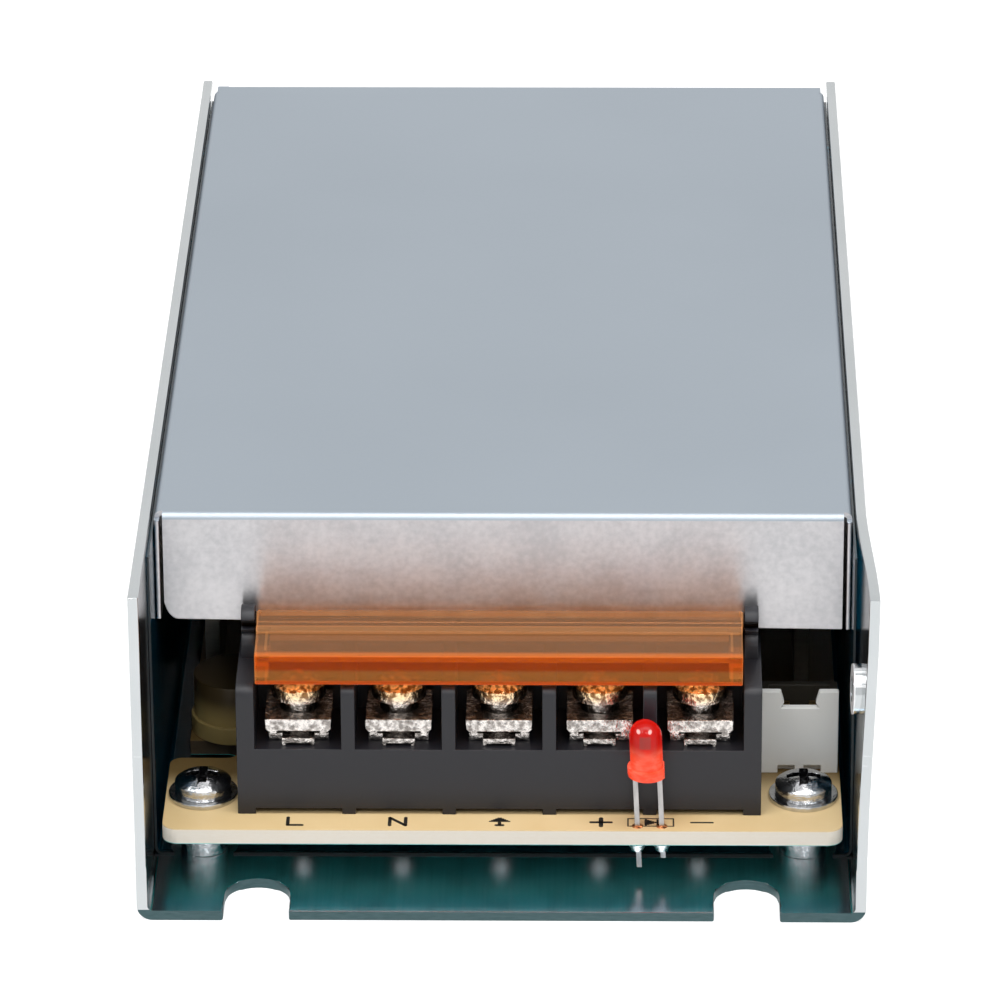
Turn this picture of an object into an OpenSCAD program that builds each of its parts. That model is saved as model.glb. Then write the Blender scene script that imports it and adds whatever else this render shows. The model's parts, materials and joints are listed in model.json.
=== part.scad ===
// Enclosed switching power supply with an open front: a folded chassis, a folded cover,
// a circuit board on posts and a five pole screw terminal block under a flip cover.
// Millimetres, +Z up, the front faces -Y, origin under the middle of the base.

/* [Chassis] */
// Length of the base and the side walls
chassis_l = 127; // [125:1:180]
// Height of the side walls
chassis_h = 33.8; // [33.4:0.2:50]
// Sheet thickness of the chassis
chassis_t = 1; // [0.8:0.1:1.4]
// Inner radius of the chassis folds
bend_r = 0.5; // [0.3:0.1:0.8]
// Width of the mounting notches in the front edge
notch_w = 6.2; // [4.4:0.1:8]
// Depth of the mounting notches
notch_l = 6.4; // [5:0.1:9]
// Distance between the two notches
notch_spread = 46.2; // [36:0.2:50]
// Core diameter of the threaded hole in the right wall
thread_d = 2.5; // [2:0.1:3.3]
// Outer diameter of the collar drawn round that hole
collar_d = 4.8; // [4:0.1:6]
// How far the collar stands into the case
collar_l = 0.8; // [0.4:0.1:1]
// Distance of the threaded hole from the front edge
collar_back = 7; // [5:0.2:8]
// Height of the threaded hole above the underside
collar_up = 21.1; // [16:0.1:24]
// Width of a slot in the rear wall
vent_w = 2.4; // [1.5:0.1:3]
// Height of a slot in the rear wall
vent_h = 12; // [6:0.5:16]
// Distance between the slots
vent_pitch = 5.2; // [4:0.1:6]
// Height of the slots' middle above the underside
vent_up = 20; // [16:0.5:22]

/* [Cover] */
// Sheet thickness of the cover
cover_t = 0.5; // [0.4:0.05:0.8]
// Inner radius of the cover's folds
fold_r = 0.2; // [0.1:0.05:0.5]
// Room between a side flange and the wall
cover_gap = 0.3; // [0.3:0.05:0.6]
// How far the cover lies below the top of the walls
cover_drop = 0.1; // [0:0.05:0.5]
// Height of the front lip and the side flanges
lip_h = 11.6; // [9:0.1:12.4]
// Width of the open slit beside the lip
slit_w = 0.3; // [0.2:0.05:0.8]
// Room between the flip cover and the lip behind it
lip_clear = 0.5; // [0.3:0.1:2]
// How far the walls reach past the cover at the rear
cover_back = 1.5; // [0.5:0.1:3]
// Core diameter of the cover screws
cover_screw_d = 2.4; // [2:0.1:3]
// Diameter of their flush heads
cover_head_d = 4.6; // [4:0.1:5]
// Length of the cover screws
cover_screw_l = 4.6; // [3.4:0.2:6]
// Distance of the screws from the cover's ends
cover_screw_in = 13; // [8:0.5:20]
// Distance of the screws below the top of the cover
cover_screw_down = 6; // [4.5:0.1:7.5]
// Length of the thread collar drawn in the cover's flange
flange_collar_l = 1.2; // [0.8:0.1:1.6]

/* [Insulating liner] */
// Thickness of the film
liner_t = 0.2; // [0.1:0.02:0.24]
// Distance of the film's front edge from the chassis front
liner_front = 11.2; // [10.6:0.1:14]
// Room round the posts and screws
liner_room = 1; // [0.6:0.1:1.6]
// How far the film stays below the top of the walls
liner_top = 1.3; // [0.5:0.1:4]

/* [Circuit board] */
// Thickness of the board
board_t = 1.6; // [1:0.1:2]
// Room between the board and the side walls
board_gap = 1.1; // [0.8:0.1:3]
// Distance of the board from the chassis front
board_front = 5.8; // [5:0.1:8]
// Distance of the board from the chassis rear
board_back = 7; // [5:0.5:10]
// Corner radius of the board
board_r = 1.5; // [0.5:0.1:2.5]
// Width of the cut-out in the board's left edge, beside the terminal block
cutout_w = 6.5; // [4:0.1:6.8]
// Length of this cut-out
cutout_l = 3.6; // [3:0.1:5]
// Distance of this cut-out behind the front left post
cutout_back = 7.6; // [5:0.1:8]
// Corner radius of this cut-out
cutout_r = 1.2; // [0.5:0.1:1.4]
// Length over which the board's left edge is set back behind the cut-out
setback_l = 40; // [20:1:60]
// Height of the posts under the board
post_h = 4; // [3.4:0.1:6]
// Diameter of the posts
post_d = 4.5; // [4:0.1:6]
// Distance of the posts from the board's side edges
post_edge = 3.6; // [3.4:0.1:6]
// Distance of the posts from the board's front and rear edges
post_in = 7; // [6:0.1:9]
// Diameter of the screw holes in the board
board_hole_d = 3.2; // [2.9:0.1:3.6]
// Diameter of the washers under the board screws
washer_d = 6.6; // [6:0.1:7]
// Thickness of these washers
washer_t = 0.5; // [0.3:0.1:0.8]
// Room between these washers and the terminal block
washer_gap = 0.2; // [0.1:0.05:2]
// Core diameter of the board screws
board_screw_d = 2.4; // [2:0.1:2.8]
// Length of the board screws under the head
board_screw_l = 5.4; // [4:0.2:6]
// Diameter of the board screws' heads
board_head_d = 5.4; // [4.6:0.1:6]
// Height of the board screws' heads
board_head_h = 2; // [1.5:0.1:2.6]

/* [Terminal block] */
// Distance between the terminals
pole_pitch = 9.5; // [8.8:0.1:11]
// Thickness of the partitions
partition_t = 1.3; // [1:0.1:1.6]
// Thickness of the end walls
end_t = 1.7; // [1.5:0.1:2.2]
// Distance of the block from the board's front edge
block_set = 3.1; // [3:0.1:5]
// Sideways place of the block
block_shift = -0.3; // [-1:0.1:1]
// Depth of the block
block_l = 13.3; // [13:0.1:16]
// Depth of the cells
cell_l = 8.6; // [8.5:0.1:9]
// Height of the cell floors above the board
floor_h = 6.9; // [6.5:0.1:8]
// Height of the feet under the block
foot_h = 0.6; // [0.3:0.1:1]
// Height of the walls above the cell floors
wall_h = 6.5; // [5.6:0.1:7]
// Rounding of the front top corners of the walls
wall_r = 1; // [0.4:0.1:1.5]
// Thickness of the hinge ears
ear_t = 1.3; // [1:0.1:1.5]
// How far the hinge ears stand in from the block's sides
ear_in = 0.3; // [0:0.05:0.4]
// Radius of the two lobes of an ear
lobe_r = 1.4; // [1.3:0.05:1.6]
// Distance of the lower lobe under the upper one, which holds the hinge pin
lobe_step = 2.2; // [1.8:0.1:2.4]
// Opening in the upper lobe that the hinge pin snaps through
snap_w = 0.9; // [0.7:0.1:1.2]

/* [Contacts and screws] */
// Thickness of the contact plates
plate_t = 0.8; // [0.6:0.1:1]
// How far a contact plate stays inside the sides of its clamp
plate_in = 0.3; // [0:0.05:0.5]
// How far a contact plate stays behind the front of its clamp
plate_set = 0.85; // [0.2:0.05:1.2]
// Room between a contact's pin and the cell's rear wall
pin_room = 0.5; // [0.2:0.1:1]
// Width of a contact plate's front tongue
tongue_w = 3.1; // [2:0.1:5]
// How far the tongue stays behind the block's front
tongue_set = 0.75; // [0.1:0.05:1]
// Width of the two feet under the tongue
tongue_foot = 0.4; // [0.2:0.05:0.8]
// Height of the arch between the tongue's feet
tongue_arch = 0.25; // [0.1:0.05:0.4]
// Width of a contact's solder pin
pin_w = 1.2; // [0.8:0.1:1.5]
// How far solder pins reach under the board
pin_under = 1.2; // [0.8:0.1:2]
// Distance of the screws from the block's front
screw_back = 4.3; // [4.1:0.1:4.6]
// Diameter of the terminal screws
screw_d = 2.8; // [2.4:0.1:3]
// Running room between a screw and its thread
thread_play = 0.05; // [0.03:0.01:0.1]
// Diameter of the screw heads
head_d = 5.2; // [4.6:0.1:6]
// Height of the screw heads
head_h = 2.2; // [1.6:0.1:2.4]
// Length of the terminal screws under the head
screw_l = 7.2; // [6:0.1:7.6]
// How far the screws are backed off from the clamps
screw_loose = 1.2; // [0.1:0.1:1.6]
// Width of the square clamps
clamp_w = 6.35; // [5.6:0.05:7]
// Thickness of the square clamps
clamp_t = 1.3; // [1:0.1:1.5]
// Width of the turned down clamp edges
rib_w = 0.7; // [0.5:0.1:0.8]
// Height of the turned down clamp edges
rib_h = 0.5; // [0.3:0.1:0.8]
// How far the turned down edges stand in from the bevels
rib_in = 0.1; // [0.05:0.05:0.4]
// Bevel along the lower side edges of the clamps
clamp_bevel = 0.4; // [0.2:0.05:0.6]
// Room between parts that seat on each other
seat_play = 0.03; // [0.02:0.01:0.06]
// Width of the cross slots in the screw heads
cross_w = 0.8; // [0.6:0.1:1.1]

/* [Flip cover] */
// Thickness of the top plate
flip_t = 1.2; // [1:0.1:1.5]
// Depth of the top plate
flip_l = 8.8; // [8.6:0.1:9.4]
// Height of the front lip, top plate included
flip_lip_h = 3.1; // [2.6:0.1:3.6]
// Thickness of the front lip
flip_lip_t = 1.1; // [0.8:0.1:1.3]
// Thickness of the flip cover's ends
flip_end_t = 1.3; // [0.8:0.1:1.6]
// Rise of the top plate from its front edge to the hinge
flip_slope = 0.6; // [0:0.1:1]
// Corner radius at the rear of the top plate
flip_r = 0.7; // [0.3:0.1:1]
// Room between the lip and the partitions under it
flip_rise = 0.35; // [0.3:0.05:1]
// Room between the flip cover and the ears
flip_play = 0.25; // [0.2:0.05:0.6]
// Diameter of the hinge pins
hinge_d = 1.5; // [1.3:0.1:1.6]
// Running room round the hinge pins
hinge_play = 0.05; // [0.03:0.01:0.1]
// Distance of the hinge axis from the rear edge
hinge_back = 1.1; // [1:0.1:1.4]
// Distance of the raised rib behind the front edge
flip_rib_back = 4; // [3:0.1:5]
// Width of the raised rib across the top
flip_rib_w = 1.1; // [0.6:0.1:2]
// Height of the raised rib
flip_rib_h = 0.3; // [0.1:0.05:0.5]

/* [Indicator lamp] */
// Diameter of the lens
lamp_d = 3.1; // [2.8:0.1:3.2]
// Diameter of the flange at the foot of the lens
lamp_flange_d = 3.7; // [3.4:0.1:3.9]
// Height of the flange
lamp_flange_h = 1; // [0.6:0.1:1.4]
// Depth of the flat on the flange, on the side of the shorter lead
lamp_flat = 0.2; // [0.1:0.05:0.25]
// Height of the lens
lamp_h = 5.7; // [5.2:0.1:7]
// Height of the lens above the board
lamp_up = 5.5; // [3:0.1:6]
// Distance of the lens from the block behind it
lamp_gap = 0.3; // [0.2:0.05:0.5]
// Width of a lead
lead_w = 0.5; // [0.4:0.05:0.6]
// Distance between the leads
lead_pitch = 2.3; // [2:0.1:2.54]
// How far the longer lead reaches under the board
lead_under = 2.7; // [2:0.1:2.8]

/* [Plug header] */
// Width of the header
header_w = 7.4; // [7:0.1:7.6]
// Depth of the header
header_l = 5.75; // [5:0.05:6]
// Height of the header's walls
header_h = 7; // [6:0.1:8]
// Height of the latch ears above the front wall
header_ear_h = 1.7; // [1:0.1:2.4]
// Width of a latch ear
header_ear_w = 2.2; // [1.6:0.1:2.6]
// Thickness of the header's walls
header_t = 0.8; // [0.6:0.05:1]
// Thickness of the header's floor
header_floor = 1.6; // [1.2:0.1:2]
// Distance between the header's pins
header_pitch = 2.5; // [2:0.1:2.54]
// Thickness of the header's pins
header_pin = 0.64; // [0.5:0.02:0.8]
// Room between the header and the board's side edge
header_edge = 0.2; // [0.1:0.1:0.6]
// Distance of the header from the front of the terminal block
header_back = 8.7; // [8.4:0.1:9]

/* [Parts on the board] */
// Distance of the first row of parts behind the terminal block
row_gap = 0.6; // [0.4:0.1:2]
// Distance between the rows of parts
row_step = 3; // [1:0.2:4]
// Distance of the line fuse from the board's left edge
fuse_edge = 1.7; // [1:0.1:3]
// Diameter of the line fuse
fuse_d = 8.4; // [7:0.1:8.6]
// Height of the line fuse
fuse_h = 6; // [5:0.1:9]
// Width of the filter capacitor
film_w = 17.5; // [13:0.5:18]
// Depth of the filter capacitor
film_l = 8.5; // [6:0.5:9]
// Height of the filter capacitor
film_h = 14.5; // [11:0.5:18]
// Diameter of the inrush limiter disc
limiter_d = 9; // [7:0.1:10]
// Thickness of the inrush limiter disc
limiter_t = 4; // [3:0.1:5]
// Outer diameter of the line choke's ring
ring_d = 15; // [13:0.1:16]
// Inner diameter of the line choke's ring
ring_in = 8; // [7.4:0.1:9]
// Height of the line choke's ring
ring_h = 6; // [5:0.1:7]
// Build of the windings on the ring
coil_t = 1.2; // [0.8:0.1:1.5]
// Width of the bridge rectifier
bridge_w = 14.5; // [12:0.5:16]
// Depth of the bridge rectifier
bridge_l = 3.6; // [3:0.1:4.5]
// Height of the bridge rectifier
bridge_h = 11; // [9:0.5:13]
// Diameter of the storage capacitor
storage_d = 18; // [16:0.1:18]
// Room above the storage capacitor
storage_room = 1.4; // [1:0.1:4]
// Width of the transformer's core
core_w = 25; // [24:0.1:25.4]
// Thickness of the transformer's core
core_l = 6.6; // [6:0.1:8]
// Height of the transformer's core
core_h = 20; // [18:0.1:21]
// Thickness of the core's outer limbs
limb_t = 3.4; // [3:0.1:3.6]
// Wall of the transformer's bobbin
bobbin_t = 0.8; // [0.6:0.05:1]
// Build of the transformer's winding
winding_t = 2.6; // [1.5:0.1:2.8]
// Thickness of the heat spreaders
spreader_t = 1.4; // [1:0.1:1.8]
// Length of the heat spreaders
spreader_l = 34; // [20:0.5:36]
// Height of the heat spreaders
spreader_h = 21; // [20:0.1:23]
// Distance of the heat spreaders behind the line fuse
spreader_gap = 5.2; // [2:0.1:8]
// Distance of the heat spreaders from the board's side edges
spreader_in = 2.6; // [2.2:0.1:3]
// Thickness of the insulating pads
pad_t = 0.3; // [0.2:0.05:0.5]
// Width of a transistor
case_w = 10; // [9.6:0.1:10.6]
// Thickness of a transistor
case_t = 4.5; // [4.2:0.1:4.8]
// Height of a transistor's body
case_h = 9; // [8.6:0.1:9.4]
// Height of a transistor's metal tab
tab_h = 6.4; // [6:0.1:6.6]
// Thickness of a transistor's metal tab
tab_t = 1.3; // [1.1:0.1:1.5]
// Height of a transistor's body above the board
case_up = 3.6; // [2.6:0.1:4]
// Diameter of the output capacitors
output_cap_d = 10; // [8:0.1:10]
// Height of the output capacitors
output_cap_h = 20; // [16:0.5:23]
// Diameter of the output choke
drum_d = 10; // [8:0.1:11]
// Height of the output choke
drum_h = 12; // [10:0.1:15]
// Width of the coupler and the control chip
chip_w = 6.4; // [6:0.1:7.6]
// Height of the coupler and the control chip
chip_h = 3.5; // [3:0.1:4.5]
// Length of the coupler
coupler_l = 4.6; // [4:0.1:5]
// Length of the control chip
chip_l = 9.4; // [9:0.1:10]
// Height of the standing discs above the board
disc_up = 1.6; // [0.5:0.1:3]
// Diameter of the safety capacitors
disc_d = 8; // [7:0.1:9]
// Thickness of the safety capacitors
disc_t = 3.6; // [3:0.1:4.5]
// Diameter of the resistors
resistor_d = 3; // [2.4:0.1:3.4]
// Length of the resistors
resistor_l = 9; // [7:0.1:10]
// Distance between the resistors
resistor_pitch = 5; // [4.2:0.1:5.4]

/* [Hidden] */
$fn = 48;
pole_count = 5;
poles = [1 : pole_count];

// A cut runs this far past the face it opens
cut = 1;

// Terminal block, seen from its front face at the board
cell_w = pole_pitch - partition_t;
block_w = (pole_count - 1) * pole_pitch + cell_w + 2 * end_t;
wall_top = floor_h + wall_h;
first_pole = -(pole_count - 1) / 2 * pole_pitch;
hinge_y = flip_l - hinge_back;
flip_top = wall_top + flip_rise + flip_lip_h;
hinge_z = flip_top + flip_slope - flip_t / 2;

// Widths follow from the block, the posts beside it and the walls
post_x = block_w / 2 + abs(block_shift) + washer_gap + washer_d / 2;
board_w = 2 * (post_x + post_edge);
inner_w = board_w + 2 * board_gap;
chassis_w = inner_w + 2 * chassis_t;
cover_w = inner_w - 2 * cover_gap;

// Places along the length
front_y = -chassis_l / 2;
back_y = chassis_l / 2;
board_y = front_y + board_front;
board_l = chassis_l - board_front - board_back;
block_y = board_y + block_set;
lip_y = block_y + flip_l + lip_clear;
cover_end = back_y - cover_back;
rear_in = cover_end - chassis_t;
flange_end = rear_in - cover_gap;
row_y = block_y + block_l + row_gap;
post_ys = [board_y + post_in, board_y + board_l - post_in];

// Heights
board_z = chassis_t + post_h;
board_top = board_z + board_t;
cover_z = chassis_h - cover_drop;
roof_z = cover_z - cover_t;
lip_z = cover_z - lip_h;
cover_screw_z = cover_z - cover_screw_down;
cover_screw_ys = [lip_y + cover_screw_in, cover_end - cover_screw_in];
plate_top = floor_h + plate_t;
clamp_top = plate_top + seat_play + rib_h + clamp_t;

steel = [0.72, 0.74, 0.76];
bright = [0.85, 0.86, 0.88];
copper = [0.72, 0.45, 0.25];
black = [0.20, 0.20, 0.22];

// Helpers

module box_between(low, high) {
    translate(low) cube(high - low);
}

module rounded_rect(w, l, r) {
    union() {
        translate([-w / 2 + r, -l / 2]) square([w - 2 * r, l]);
        translate([-w / 2, -l / 2 + r]) square([w, l - 2 * r]);
        for (sx = [-1, 1], sy = [-1, 1])
            translate([sx * (w / 2 - r), sy * (l / 2 - r)]) circle(r);
    }
}

// Cut-out of an edge that runs along Y: round in its inner corners, rounded off where it meets the edge
module edge_cutout(w, l, r) {
    translate([-cut, 0]) square([w - r + cut, l]);
    translate([w - 2 * r, r]) square([2 * r, l - 2 * r]);
    for (y = [r, l - r]) translate([w - r, y]) circle(r);
    for (s = [0, 1]) translate([0, s > 0 ? l : -r]) difference() {
        square(r);
        translate([r, s > 0 ? r : 0]) circle(r);
    }
}

// Quarter ring of a fold, centred on its bend, in the quadrant that the two signs name
module fold_arc(r_in, t, sx, sy) {
    intersection() {
        difference() {
            circle(r_in + t);
            circle(r_in);
        }
        translate([sx > 0 ? 0 : -(r_in + t), sy > 0 ? 0 : -(r_in + t)]) square(r_in + t);
    }
}

// Section of a folded channel: floor at the bottom, two walls up
module channel_section(w, h, t, r_in) {
    r = r_in + t;
    translate([-w / 2 + r, 0]) square([w - 2 * r, t]);
    for (s = [-1, 1]) {
        translate([s > 0 ? w / 2 - t : -w / 2, r]) square([t, h - r]);
        translate([s * (w / 2 - r), r]) fold_arc(r_in, t, s, -1);
    }
}

// A section drawn in X and Z, swept along Y
module along_y(y0, y1) {
    translate([0, y1, 0]) rotate([90, 0, 0]) linear_extrude(y1 - y0) children();
}

// A section drawn in Y and Z, swept along X
module along_x(x0, x1) {
    translate([x0, 0, 0]) rotate([90, 0, 90]) linear_extrude(x1 - x0) children();
}

module across_x(x0, x1, d) {
    translate([x0, 0, 0]) rotate([0, 90, 0]) cylinder(h = x1 - x0, d = d);
}

module at_posts() {
    for (sx = [-1, 1], y = post_ys) translate([sx * post_x, y, 0]) children();
}

module at_pole(i) {
    translate([block_shift + first_pole + (i - 1) * pole_pitch, block_y + screw_back, board_top])
        children();
}

// Half section of a pan head: a low cylinder under a shallow crown
module pan_half(d, h) {
    rim = h * 0.55;
    crown = h - rim;
    r = (d * d / 4 + crown * crown) / (2 * crown);
    square([d / 2, rim]);
    intersection() {
        translate([0, h - r]) circle(r, $fn = 96);
        translate([0, rim]) square([d / 2, crown]);
    }
}

// Screw with a pan head and a cross slot, its head seated at z = 0
module pan_screw(head, height, core, length) {
    slot_depth = height * 0.55;
    slot_l = head * 0.6;
    difference() {
        union() {
            rotate_extrude() pan_half(head, height);
            translate([0, 0, -length]) cylinder(h = length, d = core);
        }
        for (a = [0, 90])
            rotate(a) translate([-slot_l / 2, -cross_w / 2, height - slot_depth])
                cube([slot_l, cross_w, slot_depth + cut]);
    }
}

// Cone of solder under the board, round a square pin
module solder_cone(pin) {
    difference() {
        translate([0, 0, -pin_under * 0.75]) cylinder(h = pin_under * 0.75, d1 = pin + 0.6, d2 = pin + 1.5);
        translate([-pin / 2, -pin / 2, -pin_under]) cube([pin, pin, pin_under + cut]);
    }
}

// Case

module rear_section() {
    r = bend_r + chassis_t;
    translate([cover_end - r - cut, 0]) square([cut, chassis_t]);
    translate([cover_end - r, r]) fold_arc(bend_r, chassis_t, 1, -1);
    translate([rear_in, r]) square([chassis_t, roof_z - cover_gap - r]);
}

module vent_slots() {
    count = 2 * floor((inner_w / 2 - vent_pitch) / vent_pitch) + 1;
    for (i = [0 : count - 1])
        translate([(i - (count - 1) / 2) * vent_pitch, rear_in - cut, vent_up])
            rotate([-90, 0, 0]) linear_extrude(chassis_t + 2 * cut) {
                square([vent_w, vent_h - vent_w], center = true);
                for (s = [-1, 1]) translate([0, s * (vent_h - vent_w) / 2]) circle(d = vent_w);
            }
}

module front_notch() {
    translate([0, front_y, -cut]) linear_extrude(chassis_t + 2 * cut) {
        translate([0, notch_l - notch_w / 2]) circle(d = notch_w);
        translate([-notch_w / 2, -cut]) square([notch_w, notch_l - notch_w / 2 + cut]);
    }
}

// Countersunk seat of a cover screw, its mouth at x = 0 and its bore along -X
module cover_screw_seat() {
    cone = (cover_head_d - cover_screw_d) / 2 - cover_gap;
    rotate([0, -90, 0]) {
        cylinder(h = cone, d1 = cover_head_d + cover_gap, d2 = cover_head_d + cover_gap - 2 * cone);
        translate([0, 0, -cut]) cylinder(h = cut, d = cover_head_d + cover_gap);
        cylinder(h = chassis_t + cut, d = cover_screw_d + 2 * cover_gap);
    }
}

module at_cover_screws(x) {
    for (s = [-1, 1], y = cover_screw_ys)
        translate([s * x, y, cover_screw_z]) rotate(s > 0 ? 0 : 180) children();
}

module chassis() color(steel) {
    r = bend_r + chassis_t;
    difference() {
        union() {
            difference() {
                along_y(front_y, back_y) channel_section(chassis_w, chassis_h, chassis_t, bend_r);
                box_between([-chassis_w / 2 + r, cover_end - r, -cut],
                            [chassis_w / 2 - r, back_y + cut, r]);
            }
            along_x(-chassis_w / 2 + 2 * r, chassis_w / 2 - 2 * r) rear_section();
            translate([0, front_y + collar_back, collar_up])
                across_x(inner_w / 2 - collar_l, inner_w / 2 + chassis_t / 2, collar_d);
        }
        for (s = [-1, 1]) translate([s * notch_spread / 2, 0, 0]) front_notch();
        translate([0, front_y + collar_back, collar_up])
            across_x(inner_w / 2 - collar_l - cut, chassis_w / 2 + cut, thread_d);
        at_cover_screws(chassis_w / 2) cover_screw_seat();
        vent_slots();
    }
}

module lip_section() {
    r = fold_r + cover_t;
    translate([lip_y + r, cover_z - cover_t]) square([cut, cover_t]);
    translate([lip_y + r, cover_z - r]) fold_arc(fold_r, cover_t, -1, 1);
    translate([lip_y, lip_z]) square([cover_t, lip_h - r]);
}

module cover() color([0.64, 0.68, 0.72]) {
    r = fold_r + cover_t;
    lip_half = cover_w / 2 - cover_t - slit_w;
    difference() {
        union() {
            translate([0, 0, cover_z]) mirror([0, 0, 1])
                along_y(lip_y + r, flange_end) channel_section(cover_w, lip_h, cover_t, fold_r);
            along_x(-lip_half, lip_half) lip_section();
            box_between([-cover_w / 2 + r / 2, flange_end - cover_gap, roof_z],
                        [cover_w / 2 - r / 2, cover_end, cover_z]);
            for (s = [-1, 1])
                box_between([s > 0 ? cover_w / 2 - cover_t : -cover_w / 2, lip_y, lip_z],
                            [s > 0 ? cover_w / 2 : -cover_w / 2 + cover_t, lip_y + r + cut, cover_z - r]);
            at_cover_screws(cover_w / 2)
                across_x(-cover_t - flange_collar_l, -cover_t / 2, cover_screw_d + 2 * cover_t);
        }
        at_cover_screws(cover_w / 2)
            across_x(-cover_t - flange_collar_l - cut, cut, cover_screw_d + 2 * thread_play);
    }
}

module cover_screws() color(bright) at_cover_screws(chassis_w / 2) {
    cone = (cover_head_d - cover_screw_d) / 2;
    translate([-thread_play, 0, 0]) difference() {
        rotate([0, -90, 0]) {
            cylinder(h = cone, d1 = cover_head_d, d2 = cover_screw_d);
            cylinder(h = cover_screw_l, d = cover_screw_d);
        }
        for (a = [0, 90])
            rotate([a, 0, 0]) translate([-cone, -cover_head_d * 0.3, -cross_w / 2])
                cube([cone + cut, cover_head_d * 0.6, cross_w]);
    }
}

module insulating_liner() color([0.15, 0.30, 0.62, 0.6]) {
    half = inner_w / 2 - (cover_gap - liner_t) / 2;
    y0 = front_y + liner_front;
    top = chassis_h - liner_top;
    low = chassis_t + bend_r + liner_t;
    difference() {
        union() {
            box_between([-half + bend_r + liner_t, y0, chassis_t],
                        [half - bend_r - liner_t, flange_end, chassis_t + liner_t]);
            for (s = [-1, 1]) {
                box_between([s > 0 ? half - liner_t : -half, y0, low],
                            [s > 0 ? half : -half + liner_t, flange_end, top]);
                along_y(y0, flange_end)
                    translate([s * (half - bend_r - liner_t), low]) fold_arc(bend_r, liner_t, s, -1);
            }
        }
        at_posts() cylinder(h = chassis_t + liner_t + cut, d = post_d + 2 * liner_room);
        at_cover_screws(inner_w / 2) across_x(-cover_gap - cut, cut, cover_screw_d + 2 * liner_room);
    }
}

// Board and its fixings

module posts() color(bright) at_posts() difference() {
    translate([0, 0, chassis_t]) cylinder(h = post_h, d = post_d);
    translate([0, 0, chassis_t - cut]) cylinder(h = post_h + 2 * cut, d = board_screw_d + 2 * thread_play);
}

module circuit_board() color([0.86, 0.74, 0.52]) difference() {
    translate([0, board_y + board_l / 2, board_z])
        linear_extrude(board_t) rounded_rect(board_w, board_l, board_r);
    translate([0, 0, board_z - cut]) {
        at_posts() cylinder(h = board_t + 2 * cut, d = board_hole_d);
        for (x = lead_xs)
            translate([x, lamp_y, 0]) cylinder(h = board_t + 2 * cut, d = lead_w * 2);
        for (x = header_pin_xs)
            translate([x, header_pin_y, 0]) cylinder(h = board_t + 2 * cut, d = header_pin * 2);
    }
    for (i = poles) at_pole(i)
        translate([0, pin_y, -board_t - cut]) cylinder(h = board_t + 2 * cut, d = pin_w * 1.6);
    translate([-board_w / 2, post_ys[0] + cutout_back, board_z - cut])
        linear_extrude(board_t + 2 * cut) {
            edge_cutout(cutout_w, cutout_l, cutout_r);
            translate([0, cutout_r]) edge_cutout(fuse_edge, setback_l, fuse_edge / 2);
        }
}

module board_washers() color(bright) at_posts() translate([0, 0, board_top]) difference() {
    cylinder(h = washer_t, d = washer_d);
    translate([0, 0, -cut]) cylinder(h = washer_t + 2 * cut, d = board_hole_d);
}

module board_screws() color(bright) at_posts() translate([0, 0, board_top + washer_t])
    pan_screw(board_head_d, board_head_h, board_screw_d, board_screw_l);

// Terminal block

pin_y = cell_l - screw_back - pin_w - pin_room;
well_d = screw_d + 2 * plate_t;

module wall_profile() {
    square([block_l, wall_top - wall_r]);
    translate([wall_r, wall_top - wall_r]) circle(wall_r);
    translate([wall_r, wall_top - wall_r - cut]) square([block_l - wall_r, wall_r + cut]);
}

module ear_profile() {
    difference() {
        union() {
            for (k = [0, 1]) translate([hinge_y, hinge_z - k * lobe_step]) circle(lobe_r);
            translate([hinge_y - lobe_r, wall_top - cut])
                square([2 * lobe_r, hinge_z - lobe_step - wall_top + cut]);
            translate([hinge_y, hinge_z - lobe_step]) square([lobe_r, lobe_step]);
        }
        translate([hinge_y, hinge_z]) circle(d = hinge_d + 2 * hinge_play);
        translate([hinge_y - 2 * lobe_r, hinge_z - snap_w / 2]) square([2 * lobe_r, snap_w]);
    }
}

module terminal_block() color(black) {
    wall_xs = [for (k = [1 : pole_count - 1]) first_pole + (k - 0.5) * pole_pitch];
    translate([block_shift, block_y, board_top]) difference() {
        union() {
            box_between([-block_w / 2, 0, foot_h], [block_w / 2, block_l, floor_h]);
            box_between([-block_w / 2, cell_l, foot_h], [block_w / 2, block_l, wall_top]);
            for (x = wall_xs) along_x(x - partition_t / 2, x + partition_t / 2) wall_profile();
            for (s = [0, 1]) {
                wall_x = s > 0 ? block_w / 2 - end_t : -block_w / 2;
                ear_x = s > 0 ? block_w / 2 - ear_in - ear_t : ear_in - block_w / 2;
                along_x(wall_x, wall_x + end_t) wall_profile();
                along_x(ear_x, ear_x + ear_t) ear_profile();
            }
        }
        for (i = poles) translate([first_pole + (i - 1) * pole_pitch, screw_back, 0]) {
            translate([0, 0, clamp_top - screw_l - cut]) cylinder(h = screw_l + cut, d = well_d);
            translate([-pin_w, pin_y - pin_w, -cut]) cube([2 * pin_w, 2 * pin_w, floor_h + cut]);
        }
    }
}

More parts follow.
